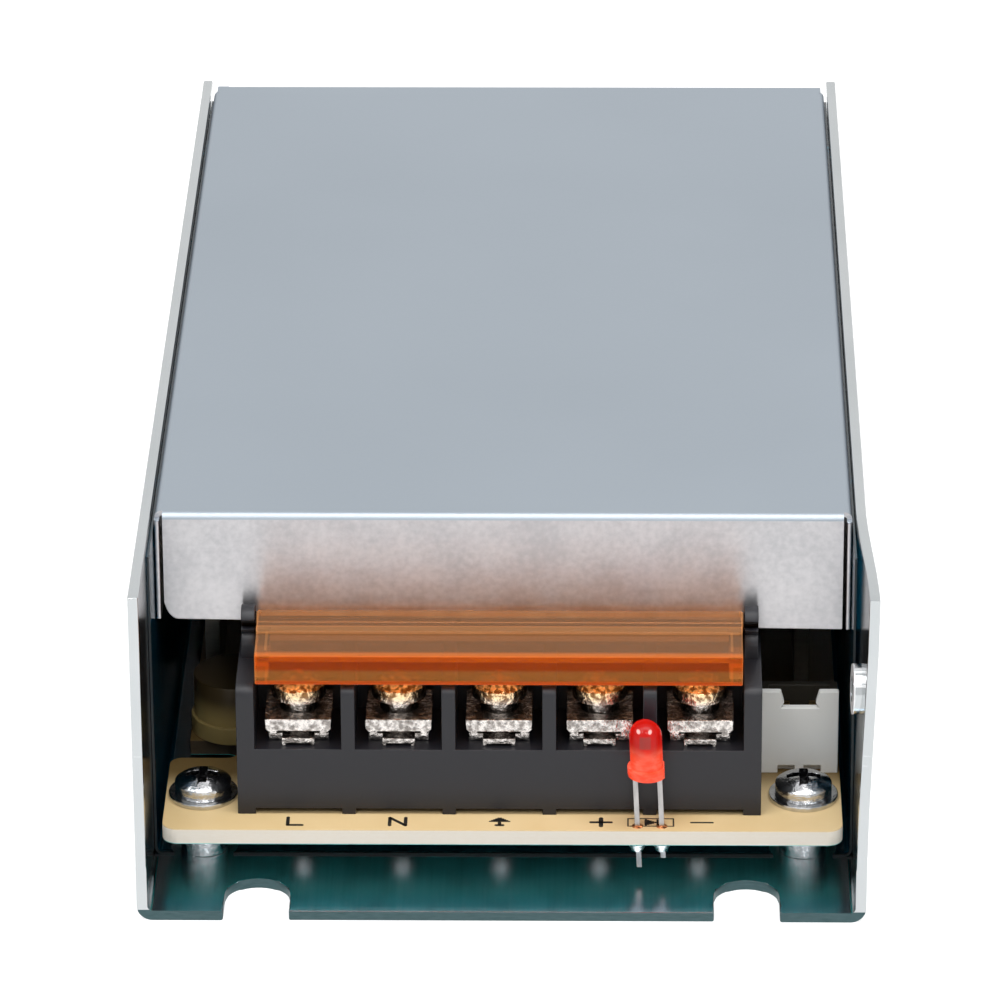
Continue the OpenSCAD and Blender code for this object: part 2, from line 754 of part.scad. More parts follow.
module contact_plate(i) color(bright) at_pole(i) {
    plate_w = clamp_w - 2 * plate_in;
    plate_front = plate_set - clamp_w / 2;
    tongue_front = tongue_set - screw_back;
    arch_w = tongue_w - 2 * tongue_foot;
    rear = cell_l - screw_back - seat_play;
    difference() {
        union() {
            box_between([-plate_w / 2, plate_front, floor_h], [plate_w / 2, rear, plate_top]);
            difference() {
                box_between([-tongue_w / 2, tongue_front, floor_h], [tongue_w / 2, 0, plate_top]);
                box_between([-arch_w / 2, tongue_front - cut, floor_h - cut],
                            [arch_w / 2, plate_front, floor_h + tongue_arch]);
            }
            box_between([-pin_w / 2, pin_y - pin_w / 2, -board_t - pin_under],
                        [pin_w / 2, pin_y + pin_w / 2, floor_h + plate_t / 2]);
        }
        translate([0, 0, floor_h - cut]) cylinder(h = plate_t + 2 * cut, d = screw_d + 2 * thread_play);
    }
}

module clamp_bar() {
    half = clamp_w / 2;
    under = clamp_top - clamp_t;
    polygon([[half, clamp_top], [-half, clamp_top], [-half, under + clamp_bevel], [clamp_bevel - half, under],
             [half - clamp_bevel, under], [half, under + clamp_bevel]]);
}

module wire_clamp(i) color(bright) at_pole(i) difference() {
    union() {
        along_y(-clamp_w / 2, clamp_w / 2) clamp_bar();
        for (s = [-1, 1])
            translate([s * (clamp_w / 2 - clamp_bevel - rib_in - rib_w / 2) - rib_w / 2, -clamp_w / 2, 0])
                box_between([0, 0, plate_top + seat_play], [rib_w, clamp_w, clamp_top - clamp_t / 2]);
    }
    translate([0, 0, plate_top - cut]) cylinder(h = clamp_top - plate_top + 2 * cut, d = screw_d + plate_t);
}

module terminal_screw(i) color(bright) at_pole(i) translate([0, 0, clamp_top + screw_loose])
    pan_screw(head_d, head_h, screw_d, screw_l);

module solder_joints() color([0.75, 0.76, 0.78]) {
    for (i = poles) at_pole(i) translate([0, pin_y, -board_t]) solder_cone(pin_w);
    translate([0, 0, board_z]) {
        for (x = lead_xs) translate([x, lamp_y, 0]) solder_cone(lead_w);
        for (x = header_pin_xs) translate([x, header_pin_y, 0]) solder_cone(header_pin);
    }
}

// Flip cover, hinged in the ears of the block

module flip_section() {
    slope = flip_slope / hinge_y;
    rear_y = flip_l - flip_t / 2;
    rear_top = flip_top + slope * rear_y;
    polygon([[0, flip_top], [rear_y, rear_top], [rear_y, rear_top - flip_t], [0, flip_top - flip_t]]);
    translate([rear_y, rear_top - flip_t / 2]) circle(d = flip_t);
    translate([0, flip_top - flip_lip_h]) square([flip_lip_t, flip_lip_h - flip_t / 2]);
    translate([flip_rib_back, flip_top + slope * flip_rib_back - flip_t / 2])
        square([flip_rib_w, flip_t / 2 + flip_rib_h]);
}

module flip_cover() color([0.85, 0.42, 0.10, 0.75]) translate([block_shift, block_y, board_top]) {
    half = block_w / 2 - ear_in - ear_t - flip_play;
    end_l = hinge_y - lobe_r - flip_lip_t;
    intersection() {
        along_x(-half, half) flip_section();
        linear_extrude(flip_top + flip_lip_h) translate([0, (flip_l - cut) / 2]) {
            rounded_rect(2 * half, flip_l + cut, flip_r);
            translate([-half, -(flip_l + cut) / 2]) square([2 * half, flip_l / 2]);
        }
    }
    for (s = [0, 1]) {
        end_x = s > 0 ? half - flip_end_t : -half;
        box_between([end_x, flip_lip_t / 2, flip_top - flip_lip_h + flip_rise],
                    [end_x + flip_end_t, flip_lip_t + end_l, flip_top - flip_t / 2]);
    }
    translate([0, hinge_y, hinge_z]) across_x(ear_in - block_w / 2, block_w / 2 - ear_in, hinge_d);
}

// Indicator lamp

lamp_y = block_y - lamp_gap - lamp_flange_d / 2;
lamp_x = block_shift + first_pole + (pole_count - 1.5) * pole_pitch;
lead_xs = [lamp_x - lead_pitch / 2, lamp_x + lead_pitch / 2];

module lamp_half() {
    square([lamp_flange_d / 2, lamp_flange_h]);
    square([lamp_d / 2, lamp_h - lamp_d / 2]);
    intersection() {
        translate([0, lamp_h - lamp_d / 2]) circle(d = lamp_d);
        translate([0, lamp_h - lamp_d / 2]) square(lamp_d / 2);
    }
}

module lamp_lens() color([0.90, 0.10, 0.08]) translate([lamp_x, lamp_y, board_top + lamp_up])
    difference() {
        rotate_extrude() lamp_half();
        box_between([lamp_flange_d / 2 - lamp_flat, -lamp_flange_d, -cut],
                    [lamp_flange_d, lamp_flange_d, lamp_flange_h + cut]);
    }

module lamp_leads() color(bright) {
    unders = [lead_under, lead_under - lamp_flange_h];
    for (k = [0, 1])
        translate([lead_xs[k], lamp_y, board_z - unders[k]]) {
            linear_extrude(lamp_up + board_t + unders[k]) square(lead_w, center = true);
        }
}

// Plug header at the right edge of the board

header_x = board_w / 2 - header_edge - header_w;
header_y = block_y + header_back;
header_pin_xs = [for (s = [-1, 1]) header_x + header_w / 2 + s * header_pitch / 2];
header_pin_y = header_y + header_l / 2;

module latch_ear() {
    slant = header_ear_w * 0.15;
    polygon([[0, 0], [header_ear_w - slant, 0], [header_ear_w, header_ear_h * 0.3],
             [header_ear_w - slant, header_ear_h], [0, header_ear_h]]);
}

module plug_header() color([0.88, 0.88, 0.86]) translate([header_x, header_y, board_top]) difference() {
    union() {
        cube([header_w, header_l, header_h]);
        for (s = [0, 1])
            translate([s * header_w, 0, header_h]) mirror([s, 0, 0])
                along_y(0, header_t) latch_ear();
    }
    box_between([header_t, header_t, header_floor],
                [header_w - header_t, header_l - header_t, header_h + cut]);
    for (s = [-1, 1]) translate([header_w / 2 + s * header_pitch / 2, 0, 0]) {
        translate([-header_t, -cut, -cut]) cube([2 * header_t, header_t + cut, header_t + cut]);
        translate([0, header_l / 2, -cut]) cylinder(h = header_floor + 2 * cut, d = header_pin * 1.6);
    }
}

module header_pins() color([0.80, 0.66, 0.32]) for (x = header_pin_xs)
    translate([x, header_pin_y, board_z - pin_under])
        linear_extrude(pin_under + board_t + header_h - header_t) square(header_pin, center = true);

// Parts on the board, line side on the left and output side on the right

left_x = -board_w / 2;
right_x = board_w / 2;
fuse_x = left_x + fuse_edge + fuse_d / 2;
fuse_y = row_y + fuse_d / 2;
film_x = fuse_x + fuse_d / 2 + row_gap + film_w / 2;
film_y = row_y + film_l / 2;
ring_r = ring_d / 2 + coil_t;
ring_x = film_x;
ring_y = film_y + film_l / 2 + row_step + ring_r;
spreader_y = fuse_y + fuse_d / 2 + spreader_gap;
case_y = spreader_y + spreader_l / 2;
bridge_y = ring_y + ring_r + row_step + bridge_l / 2;
limiter_x = ring_x + bridge_w / 2 + row_gap + limiter_t / 2;
storage_x = left_x + spreader_in + spreader_t + pad_t + case_t + row_gap + storage_d / 2;
storage_y = bridge_y + bridge_l / 2 + row_step + storage_d / 2;
core_x = storage_x + storage_d / 2 + row_gap + core_w / 2;
core_y = storage_y;
bobbin_half = core_l / 2 + bobbin_t + winding_t + pad_t;
output_x = header_x - row_gap - output_cap_d / 2;
output_ys = [for (k = [0, 1]) row_y + output_cap_d / 2 + k * (output_cap_d + row_gap)];
drum_x = output_x - output_cap_d / 2 - row_gap - drum_d / 2;
drum_y = output_ys[1];
rear_y = core_y + max(storage_d / 2, bobbin_half) + row_step;

module can(d, h) {
    groove = d * 0.03;
    difference() {
        cylinder(h = h, d = d);
        translate([0, 0, h * 0.1]) rotate_extrude() translate([d / 2, 0]) circle(groove);
        for (a = [0, 90])
            rotate(a) translate([-d * 0.32, -groove, h - groove])
                cube([d * 0.64, 2 * groove, groove + cut]);
    }
}

module line_fuse() color([0.86, 0.76, 0.50]) translate([fuse_x, fuse_y, board_top]) {
    skirt = fuse_h * 0.3;
    cylinder(h = skirt, d = fuse_d);
    cylinder(h = fuse_h, d = fuse_d - 2 * pad_t);
}

module filter_capacitor() color([0.90, 0.72, 0.20])
    translate([film_x, film_y, board_top]) linear_extrude(film_h) rounded_rect(film_w, film_l, pad_t);

module standing_disc(d, t, rise) {
    translate([-t / 2, 0, rise + d / 2]) rotate([0, 90, 0]) cylinder(h = t, d = d);
    for (s = [-1, 1])
        translate([-lead_w / 2, s * d * 0.28 - lead_w / 2, 0]) cube([lead_w, lead_w, rise + d / 2]);
}

module inrush_limiter() color([0.10, 0.25, 0.20]) translate([limiter_x, bridge_y, board_top])
    standing_disc(limiter_d, limiter_t, disc_up);

module at_choke() {
    translate([ring_x, ring_y, board_top + coil_t]) children();
}

module choke_ring() color([0.25, 0.45, 0.30]) at_choke() difference() {
    cylinder(h = ring_h, d = ring_d);
    translate([0, 0, -cut]) cylinder(h = ring_h + 2 * cut, d = ring_in);
}

module choke_windings() color(copper) at_choke() for (a = [-60, 120])
    rotate(a) rotate_extrude(angle = 120) difference() {
        translate([ring_in / 2 - coil_t, -coil_t])
            square([(ring_d - ring_in) / 2 + 2 * coil_t, ring_h + 2 * coil_t]);
        translate([ring_in / 2 - seat_play, -seat_play])
            square([(ring_d - ring_in) / 2 + 2 * seat_play, ring_h + 2 * seat_play]);
    }

module bridge_rectifier() color(black) translate([ring_x, bridge_y, board_top]) {
    translate([-bridge_w / 2, -bridge_l / 2, case_up]) cube([bridge_w, bridge_l, bridge_h]);
    for (k = [-1.5 : 1.5])
        translate([k * bridge_w / 4 - lead_w, -lead_w / 2, 0]) cube([2 * lead_w, lead_w, case_up]);
}

module storage_capacitor() color([0.15, 0.16, 0.20]) translate([storage_x, storage_y, board_top])
    can(storage_d, roof_z - storage_room - board_top);

// Transformer: two outer limbs and a middle limb, with the bobbin standing on the board

core_up = bobbin_t + 2;
window_h = core_h - 2 * limb_t;
middle_w = 2 * limb_t;

module transformer_core() color([0.28, 0.28, 0.30])
    translate([core_x, core_y - core_l / 2, board_top + core_up]) difference() {
        translate([-core_w / 2, 0, 0]) cube([core_w, core_l, core_h]);
        for (s = [-1, 1])
            translate([s * (core_w / 2 - limb_t + middle_w / 2) / 2, core_l / 2, core_h / 2])
                cube([core_w / 2 - limb_t - middle_w / 2, core_l + 2 * cut, window_h], center = true);
    }

module bobbin_ring(extra, h) {
    translate([0, 0, 0]) linear_extrude(h) difference() {
        square([middle_w + 2 * seat_play + 2 * extra, core_l + 2 * seat_play + 2 * extra], center = true);
        square([middle_w + 2 * seat_play, core_l + 2 * seat_play], center = true);
    }
}

module transformer_bobbin() color([0.30, 0.25, 0.22]) translate([core_x, core_y, board_top]) {
    tube_z = core_up + limb_t + seat_play;
    tube_h = window_h - 2 * seat_play;
    flange = bobbin_t + winding_t;
    rail_l = core_l + 2 * flange;
    translate([0, 0, tube_z]) {
        bobbin_ring(bobbin_t, tube_h);
        bobbin_ring(flange, bobbin_t);
        translate([0, 0, tube_h - bobbin_t]) bobbin_ring(flange, bobbin_t);
    }
    for (s = [-1, 1])
        translate([0, s * (core_l / 2 + seat_play + flange / 2 + seat_play), (tube_z + bobbin_t) / 2])
            cube([core_w - 2 * limb_t, flange, tube_z + bobbin_t], center = true);
}

module transformer_winding() color([0.88, 0.78, 0.30]) translate([core_x, core_y, board_top]) {
    low = core_up + limb_t + bobbin_t + 2 * seat_play;
    inner = bobbin_t + 2 * seat_play;
    outer = bobbin_t + winding_t;
    translate([0, 0, low]) linear_extrude(window_h - 2 * inner) difference() {
        square([middle_w + 2 * outer, core_l + 2 * outer], center = true);
        square([middle_w + 2 * inner, core_l + 2 * inner], center = true);
    }
}

// Transistors on their heat spreaders, drawn for the left side

tab_z = case_up + case_h + tab_h / 2;
tab_screw_d = board_screw_d;

module on_side(s, y) {
    translate([0, y, board_top]) mirror([s > 0 ? 1 : 0, 0, 0])
        translate([left_x + spreader_in, 0, 0]) children();
}

module spreader() difference() {
    translate([0, -spreader_l / 2, 0]) cube([spreader_t, spreader_l, spreader_h]);
    translate([0, 0, tab_z]) across_x(-cut, spreader_t + cut, tab_screw_d + 2 * thread_play);
}

module primary_spreader() color([0.80, 0.81, 0.82]) on_side(-1, case_y) spreader();

module output_spreader() color([0.80, 0.81, 0.82]) on_side(1, case_y) spreader();

module pad() difference() {
    translate([spreader_t, -case_w / 2 - pad_t, case_up]) cube([pad_t, case_w + 2 * pad_t, case_h + tab_h]);
    translate([0, 0, tab_z]) across_x(0, spreader_t + case_t, tab_screw_d + 2 * pad_t);
}

module insulating_pads() color([0.75, 0.78, 0.80]) for (s = [-1, 1]) on_side(s, case_y) pad();

module transistor() translate([spreader_t + pad_t, 0, 0]) {
    translate([0, -case_w / 2, case_up]) cube([case_t, case_w, case_h]);
    difference() {
        translate([0, -case_w / 2, case_up + case_h]) cube([tab_t, case_w, tab_h]);
        translate([0, 0, tab_z]) across_x(-cut, tab_t + cut, tab_screw_d + 2 * pad_t);
    }
    for (k = [-1 : 1])
        translate([case_t / 2, k * 2.54 - lead_w / 2, 0]) cube([lead_w, lead_w, case_up]);
}

module switching_transistor() color(black) on_side(-1, case_y) transistor();

module output_rectifier() color(black) on_side(1, case_y) transistor();

module tab_screws() color(bright) for (s = [-1, 1]) on_side(s, case_y)
    translate([spreader_t + pad_t + tab_t, 0, tab_z]) rotate([0, 90, 0])
        pan_screw(board_head_d, board_head_h, tab_screw_d, spreader_t + pad_t + tab_t);

module output_capacitors() color([0.12, 0.20, 0.16])
    for (y = output_ys) translate([output_x, y, board_top]) can(output_cap_d, output_cap_h);

module output_choke() color(copper) translate([drum_x, drum_y, board_top]) {
    cheek = drum_h * 0.12;
    cylinder(h = cheek, d = drum_d);
    cylinder(h = drum_h, d = drum_d - 2 * pad_t - cheek);
    translate([0, 0, drum_h - cheek]) cylinder(h = cheek, d = drum_d);
}

// Chip housing on two rows of legs
module chip_part(l, pins) {
    foot = chip_h * 0.25;
    translate([-chip_w / 2, -l / 2, foot]) cube([chip_w, l, chip_h - foot]);
    for (s = [-1, 1], k = [0 : pins - 1])
        translate([s * (chip_w - lead_w) / 2, (k + 0.5) * l / pins - l / 2, 0])
            linear_extrude(chip_h / 2) square(lead_w, center = true);
}

module optical_coupler() color(black)
    translate([core_x, rear_y + coupler_l / 2, board_top]) chip_part(coupler_l, 2);

module control_chip() color(black)
    translate([storage_x, rear_y + chip_l / 2, board_top]) chip_part(chip_l, 4);

module safety_capacitors() color([0.20, 0.40, 0.75]) {
    first_x = core_x + chip_w / 2 + row_gap + disc_t / 2;
    for (k = [0, 1])
        translate([first_x + k * (disc_t + row_gap), rear_y + disc_d / 2, board_top])
            standing_disc(disc_d, disc_t, disc_up);
}

module resistors() color([0.75, 0.66, 0.50]) {
    axis_z = row_gap + resistor_d / 2;
    first_y = rear_y + chip_l + row_step + resistor_d / 2;
    for (k = [0 : 2])
        translate([storage_x, first_y + k * resistor_pitch, board_top]) {
            translate([0, 0, axis_z]) across_x(-resistor_l / 2, resistor_l / 2, resistor_d);
            for (s = [-1, 1])
                translate([s * (resistor_l / 2 - lead_w), 0, 0])
                    linear_extrude(axis_z) square(lead_w, center = true);
        }
}

chassis();
cover();
cover_screws();
insulating_liner();
posts();
circuit_board();
board_washers();
board_screws();
terminal_block();
flip_cover();
solder_joints();
for (i = poles) {
    contact_plate(i);
    wire_clamp(i);
    terminal_screw(i);
}
lamp_lens();
lamp_leads();
plug_header();
header_pins();
line_fuse();
filter_capacitor();
inrush_limiter();
choke_ring();
choke_windings();
bridge_rectifier();
storage_capacitor();
transformer_core();
transformer_bobbin();
transformer_winding();
primary_spreader();
output_spreader();
switching_transistor();
output_rectifier();
insulating_pads();
tab_screws();
output_capacitors();
output_choke();
optical_coupler();
control_chip();
safety_capacitors();
resistors();
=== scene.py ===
"""Looks of a small power supply: folded case, matt cover, board, terminals and amber flip cover."""

import json
import math

import bmesh
import bpy
from mathutils import Matrix, Vector


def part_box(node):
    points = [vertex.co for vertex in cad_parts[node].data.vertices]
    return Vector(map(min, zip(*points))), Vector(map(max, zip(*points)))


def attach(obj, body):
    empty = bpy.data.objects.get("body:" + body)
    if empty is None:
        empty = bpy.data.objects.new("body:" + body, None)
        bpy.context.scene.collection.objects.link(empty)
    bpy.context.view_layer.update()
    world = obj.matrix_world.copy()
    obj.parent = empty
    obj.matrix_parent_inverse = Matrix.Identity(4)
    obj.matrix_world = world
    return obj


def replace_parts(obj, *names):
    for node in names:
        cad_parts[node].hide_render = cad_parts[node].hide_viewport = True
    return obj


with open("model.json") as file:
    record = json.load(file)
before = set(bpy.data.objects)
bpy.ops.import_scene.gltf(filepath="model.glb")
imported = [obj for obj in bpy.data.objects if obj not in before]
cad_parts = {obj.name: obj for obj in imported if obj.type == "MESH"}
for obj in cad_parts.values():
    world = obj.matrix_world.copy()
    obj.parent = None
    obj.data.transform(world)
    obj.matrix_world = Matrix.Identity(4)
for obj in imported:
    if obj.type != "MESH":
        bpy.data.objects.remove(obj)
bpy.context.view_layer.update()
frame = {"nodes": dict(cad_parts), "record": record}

MM = 0.001

# Camera fitted to the photograph: place in metres, angles in degrees, lens and sensor in millimetres
CAMERA_PLACE = (0.010996, -0.63075, 0.31454)
CAMERA_TURN = 1.10
CAMERA_TILT = 25.5
CAMERA_ROLL = -0.32
CAMERA_LENS = 247.74
CAMERA_SENSOR = 36.0

# Edges eased on the pieces that show, in millimetres
EASED_EDGES = {
    "chassis": 0.16,
    "cover": 0.14,
    "terminal_block": 0.07,
    "flip_cover": 0.14,
    "circuit_board": 0.08,
    "plug_header": 0.10,
    "line_fuse": 0.15,
    "posts": 0.10,
    "board_washers": 0.08,
    "board_screws": 0.08,
    "cover_screws": 0.06,
    "lamp_lens": 0.10,
    "lamp_leads": 0.06,
}
TERMINALS = range(1, 6)
TERMINAL_PIECES = {"contact_plate": 0.10, "wire_clamp": 0.14, "terminal_screw": 0.10}

# Corners closer than WELD are one, and faces within FLAT_ANGLE of each other are one face
WELD = 1e-6
FLAT_ANGLE = math.radians(0.5)

# Edges that turn by more than these are eased, and shaded sharp
EDGE_ANGLE = math.radians(34)
SHARP_ANGLE = math.radians(40)

# Room that an edge needs to be eased, in widths of the easing
ROOM_TO_EASE = 1.6

# How far a face looks up where it counts as level, and where it counts as folded down
TOP_FACING = 0.7
FOLD_FACING = 0.15

# Height just over the chassis floor, and how far the lamp leans sideways per height
FLOOR_TOP = 1.1 * MM
LAMP_LEAN = 0.045

# Rows and pen of the printed marks, in millimetres
INK_MIDDLE = -56.05
INK_BACK = INK_MIDDLE + 0.75
INK_FRONT = INK_MIDDLE - 0.75
PEN = 0.34

# Lamps and the point they look at: places and sizes in metres, power in watts
LIT_POINT = Vector((0.0, -0.03, 0.015))
SOFTBOXES = {
    "overhead_softbox": ((0.04, -0.30, 1.05), (1.40, 0.40), 8.2),
    "right_softbox": ((0.18, -0.83, 0.76), (0.20, 0.20), 1.7),
    "left_softbox": ((-0.36, -0.75, 0.80), (0.16, 0.16), 1.0),
}
WHITE = (1.0, 1.0, 1.0)


class Value:
    """A socket among shader nodes. Python's operators on it add Math nodes."""

    def __init__(self, nodes, socket):
        self.nodes = nodes
        self.socket = socket

    def maths(self, operation, first, second):
        return self.nodes.add("ShaderNodeMath", {"operation": operation}, {0: first, 1: second})

    def __add__(self, other):
        return self.maths("ADD", self, other)

    def __radd__(self, other):
        return self.maths("ADD", other, self)

    def __sub__(self, other):
        return self.maths("SUBTRACT", self, other)

    def __rsub__(self, other):
        return self.maths("SUBTRACT", other, self)

    def __mul__(self, other):
        return self.maths("MULTIPLY", self, other)

    def __rmul__(self, other):
        return self.maths("MULTIPLY", other, self)

    def either(self, other):
        """The greater of two values."""
        return self.maths("MAXIMUM", self, other)


class Nodes:
    """The shader nodes of a material or of the world."""

    def __init__(self, owner):
        owner.use_nodes = True
        self.tree = owner.node_tree
        self.tree.nodes.clear()

    def add(self, kind, settings=None, sockets=None, output=0):
        """A node of that kind: its settings are set first, then its sockets' values and links."""
        node = self.tree.nodes.new(kind)
        for name, value in (settings or {}).items():
            setattr(node, name, value)
        for key, value in (sockets or {}).items():
            if isinstance(value, Value):
                self.tree.links.new(value.socket, node.inputs[key])
            elif isinstance(value, tuple) and node.inputs[key].type == "RGBA":
                node.inputs[key].default_value = (*value, 1.0)
            else:
                node.inputs[key].default_value = value
        return Value(self, node.outputs[output]) if node.outputs else node

    def shown(self):
        """1 where the camera looks, also by a mirror or through a clear part, and 0 for other light."""
        rays = ("Is Camera Ray", "Is Glossy Ray", "Is Transmission Ray")
        camera, mirrored, passed = (self.add("ShaderNodeLightPath", output=ray) for ray in rays)
        return camera.either(mirrored).either(passed)


class Finish(Nodes):
    """A material, built node by node. Places on the surface are metres in the part's frame."""

    def __init__(self, name):
        self.material = bpy.data.materials.new(name)
        super().__init__(self.material)
        self.place = self.add("ShaderNodeTexCoord", output="Object")

    def axis(self, letter):
        """How far a place lies along X, Y or Z."""
        return self.add("ShaderNodeSeparateXYZ", sockets={0: self.place}, output=letter)

    def noise(self, per_metre, detail):
        """Soft noise. A tuple stretches it: how many patches to a metre along X, Y and Z."""
        if not isinstance(per_metre, tuple):
            per_metre = (per_metre, per_metre, per_metre)
        spread = self.add(
            "ShaderNodeVectorMath", {"operation": "MULTIPLY"}, {0: self.place, 1: per_metre}
        )
        return self.add("ShaderNodeTexNoise", sockets={"Vector": spread, "Scale": 1.0, "Detail": detail})

    def step(self, value, low, high):
        """A smooth rise from 0 to 1 as a value goes from low to high."""
        return self.add(
            "ShaderNodeMapRange",
            {"interpolation_type": "SMOOTHSTEP"},
            {"Value": value, "From Min": low, "From Max": high},
        )

    def band(self, value, low, high, soft):
        """1 where a value lies between low and high, with soft ends."""
        rise = self.step(value, low - soft, low + soft)
        fall = self.step(value, high - soft, high + soft)
        return rise * (1.0 - fall)

    def between(self, share, first, second):
        """A colour between two, by a share from 0 to 1."""
        return self.add("ShaderNodeMix", {"data_type": "RGBA"}, {0: share, 6: first, 7: second}, 2)

    def bump(self, height, depth, strength):
        """Bends the normal as if the height stood out by a depth in metres."""
        relief = {"Height": height, "Distance": depth, "Strength": strength}
        return self.add("ShaderNodeBump", sockets=relief)

    def surface(self, **sockets):
        """Ends the finish in a Principled shader. Socket names are given with _ for a space."""
        named = {name.replace("_", " "): value for name, value in sockets.items()}
        shader = self.add("ShaderNodeBsdfPrincipled", sockets=named)
        self.add("ShaderNodeOutputMaterial", sockets={"Surface": shader})
        return self.material


def plated_sheet():
    """Bright rolled sheet of the chassis: almost a mirror, with rolling lines and faint scratches."""
    f = Finish("plated_sheet")
    cloud = f.noise(70.0, 3.0)
    rolling = f.noise((5200.0, 130.0, 5200.0), 3.0)
    scratch = f.step(f.noise((260.0, 6400.0, 2400.0), 2.0), 0.70, 0.76)
    return f.surface(
        Base_Color=f.between(cloud + 0.4 * scratch, (0.46, 0.49, 0.50), (0.60, 0.62, 0.63)),
        Metallic=1.0,
        Roughness=0.09 + 0.08 * cloud + 0.05 * rolling + 0.10 * scratch,
        Normal=f.bump(rolling + 0.6 * cloud, 1e-6, 0.4),
    )


def floor_sheet():
    """Inner floor of the chassis: streaked from front to back, and darker at the front."""
    f = Finish("floor_sheet")
    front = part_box("chassis")[0].y
    cloud = f.noise(90.0, 3.0)
    streaks = f.noise((4200.0, 60.0, 4200.0), 3.0)
    inner = f.step(f.axis("Y"), front + 1.0 * MM, front + 5.0 * MM)
    # dull is only the darker colour at the front; the roughness there is the same as further back
    dull = f.between(streaks, (0.28, 0.37, 0.44), (0.40, 0.49, 0.58))
    bright = f.between(streaks, (0.44, 0.49, 0.51), (0.62, 0.65, 0.67))
    return f.surface(
        Base_Color=f.between(inner, dull, bright),
        Metallic=1.0,
        Roughness=0.15 + 0.10 * streaks + 0.06 * cloud,
        Normal=f.bump(streaks, 6e-7, 0.3),
    )


def cut_sheet():
    """Cut edges round the chassis floor: dull, and painted dark as shade."""
    f = Finish("cut_sheet")
    torn = f.noise((900.0, 900.0, 5200.0), 3.0)
    return f.surface(
        # painted shade: the cut edges are dark teal
        Base_Color=f.between(torn, (0.035, 0.07, 0.075), (0.10, 0.155, 0.165)),
        Metallic=1.0,
        Roughness=0.34 + 0.20 * torn,
        Normal=f.bump(torn, 2e-5, 0.5),
    )


def grey_sheet():
    """Matt blue-grey top of the cover, painted darker than the folded sides as shade."""
    f = Finish("grey_sheet")
    cloud = f.noise(26.0, 4.0)
    speckle = f.noise(2600.0, 2.0)
    return f.surface(
        Base_Color=f.between(cloud, (0.366, 0.414, 0.464), (0.424, 0.472, 0.522)),
        Metallic=1.0,
        Roughness=0.40 + 0.10 * cloud + 0.05 * speckle,
        Normal=f.bump(speckle, 6e-6, 0.35),
    )


def frosted_sheet():
    """Folded sides of the cover: painted paler than the top as light, mottled, and what they mirror is
    drawn out upright.
    """
    f = Finish("frosted_sheet")
    cloud = f.noise(180.0, 4.0)
    speckle = f.noise(1500.0, 3.0)
    mottle = 0.55 * cloud + 0.45 * speckle
    return f.surface(
        Base_Color=f.between(f.step(mottle, 0.30, 0.70), (0.43, 0.427, 0.442), (0.58, 0.57, 0.582)),
        Metallic=1.0,
        Roughness=0.27 + 0.08 * speckle + 0.08 * cloud,
        Anisotropic=0.75,
        Anisotropic_Rotation=0.25,
        Normal=f.bump(speckle, 5e-6, 0.35),
    )


def bright_metal():
    """Nickel plate on the board's screws, washers and posts."""
    f = Finish("bright_metal")
    lumps = f.noise(1300.0, 3.0)
    brushed = f.noise((2400.0, 2400.0, 9000.0), 2.0)
    return f.surface(
        Base_Color=f.between(lumps, (0.36, 0.37, 0.38), (0.76, 0.76, 0.77)),
        Metallic=1.0,
        Roughness=0.08 + 0.10 * lumps + 0.06 * brushed,
        Normal=f.bump(lumps + 0.3 * brushed, 1.2e-4, 0.7),
    )


def slot_metal():
    """Dark metal in the cross slots of the board's screws, painted as shade in the recesses, in uneven
    patches.
    """
    f = Finish("slot_metal")
    slot_patches = f.noise(2600.0, 3.0)
    return f.surface(
        # painted shade: the slots are near black, in patches
        Base_Color=f.between(f.step(slot_patches, 0.45, 0.65), (0.02, 0.02, 0.022), (0.16, 0.16, 0.165)),
        Metallic=1.0,
        Roughness=0.24 + 0.20 * slot_patches,
        Normal=f.bump(slot_patches, 8e-5, 0.7),
    )


def tumbled_metal():
    """Tumbled nickel of the terminals: small dents that glitter, and painted amber light at the screws'
    heads, for light through the amber cover.
    """
    f = Finish("tumbled_metal")
    dents = f.noise(1900.0, 4.0)
    fine = f.noise(5200.0, 2.0)
    # painted amber light on the screws' heads, standing for light that comes through the amber cover
    # above them
    head_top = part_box("terminal_screw_1")[1].z
    amber_light_start, amber_light_full = 2.5 * MM, 1.1 * MM
    amber_light = f.step(f.axis("Z"), head_top - amber_light_start, head_top - amber_light_full)
    nickel = f.between(f.step(dents, 0.34, 0.66), (0.27, 0.245, 0.225), (0.80, 0.755, 0.715))
    amber_lit = f.between(f.step(dents, 0.40, 0.58), (0.26, 0.13, 0.05), (0.98, 0.72, 0.42))
    return f.surface(
        Base_Color=f.between(amber_light, nickel, amber_lit),
        Metallic=1.0,
        Roughness=0.12 + 0.20 * fine,
        Normal=f.bump(dents + 0.4 * fine, 1.9e-4, 0.9),
    )


def blue_film():
    """Thin blue polyester film with soft creases; its cut front edge is painted dark as shade."""
    f = Finish("blue_film")
    crease = f.noise((60.0, 240.0, 60.0), 3.0)
    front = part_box("insulating_liner")[0].y
    # painted shade: the cut front edge is near black
    inner = f.step(f.axis("Y"), front + 0.1 * MM, front + 0.5 * MM)
    film = f.between(crease, (0.008, 0.17, 0.28), (0.015, 0.28, 0.46))
    return f.surface(
        Base_Color=f.between(inner, (0.002, 0.02, 0.03), film),
        Roughness=0.08 + 0.12 * crease + 0.4 * (1.0 - inner),
        Transmission_Weight=0.92,
        IOR=1.55,
        Normal=f.bump(crease, 6e-5, 0.4),
    )


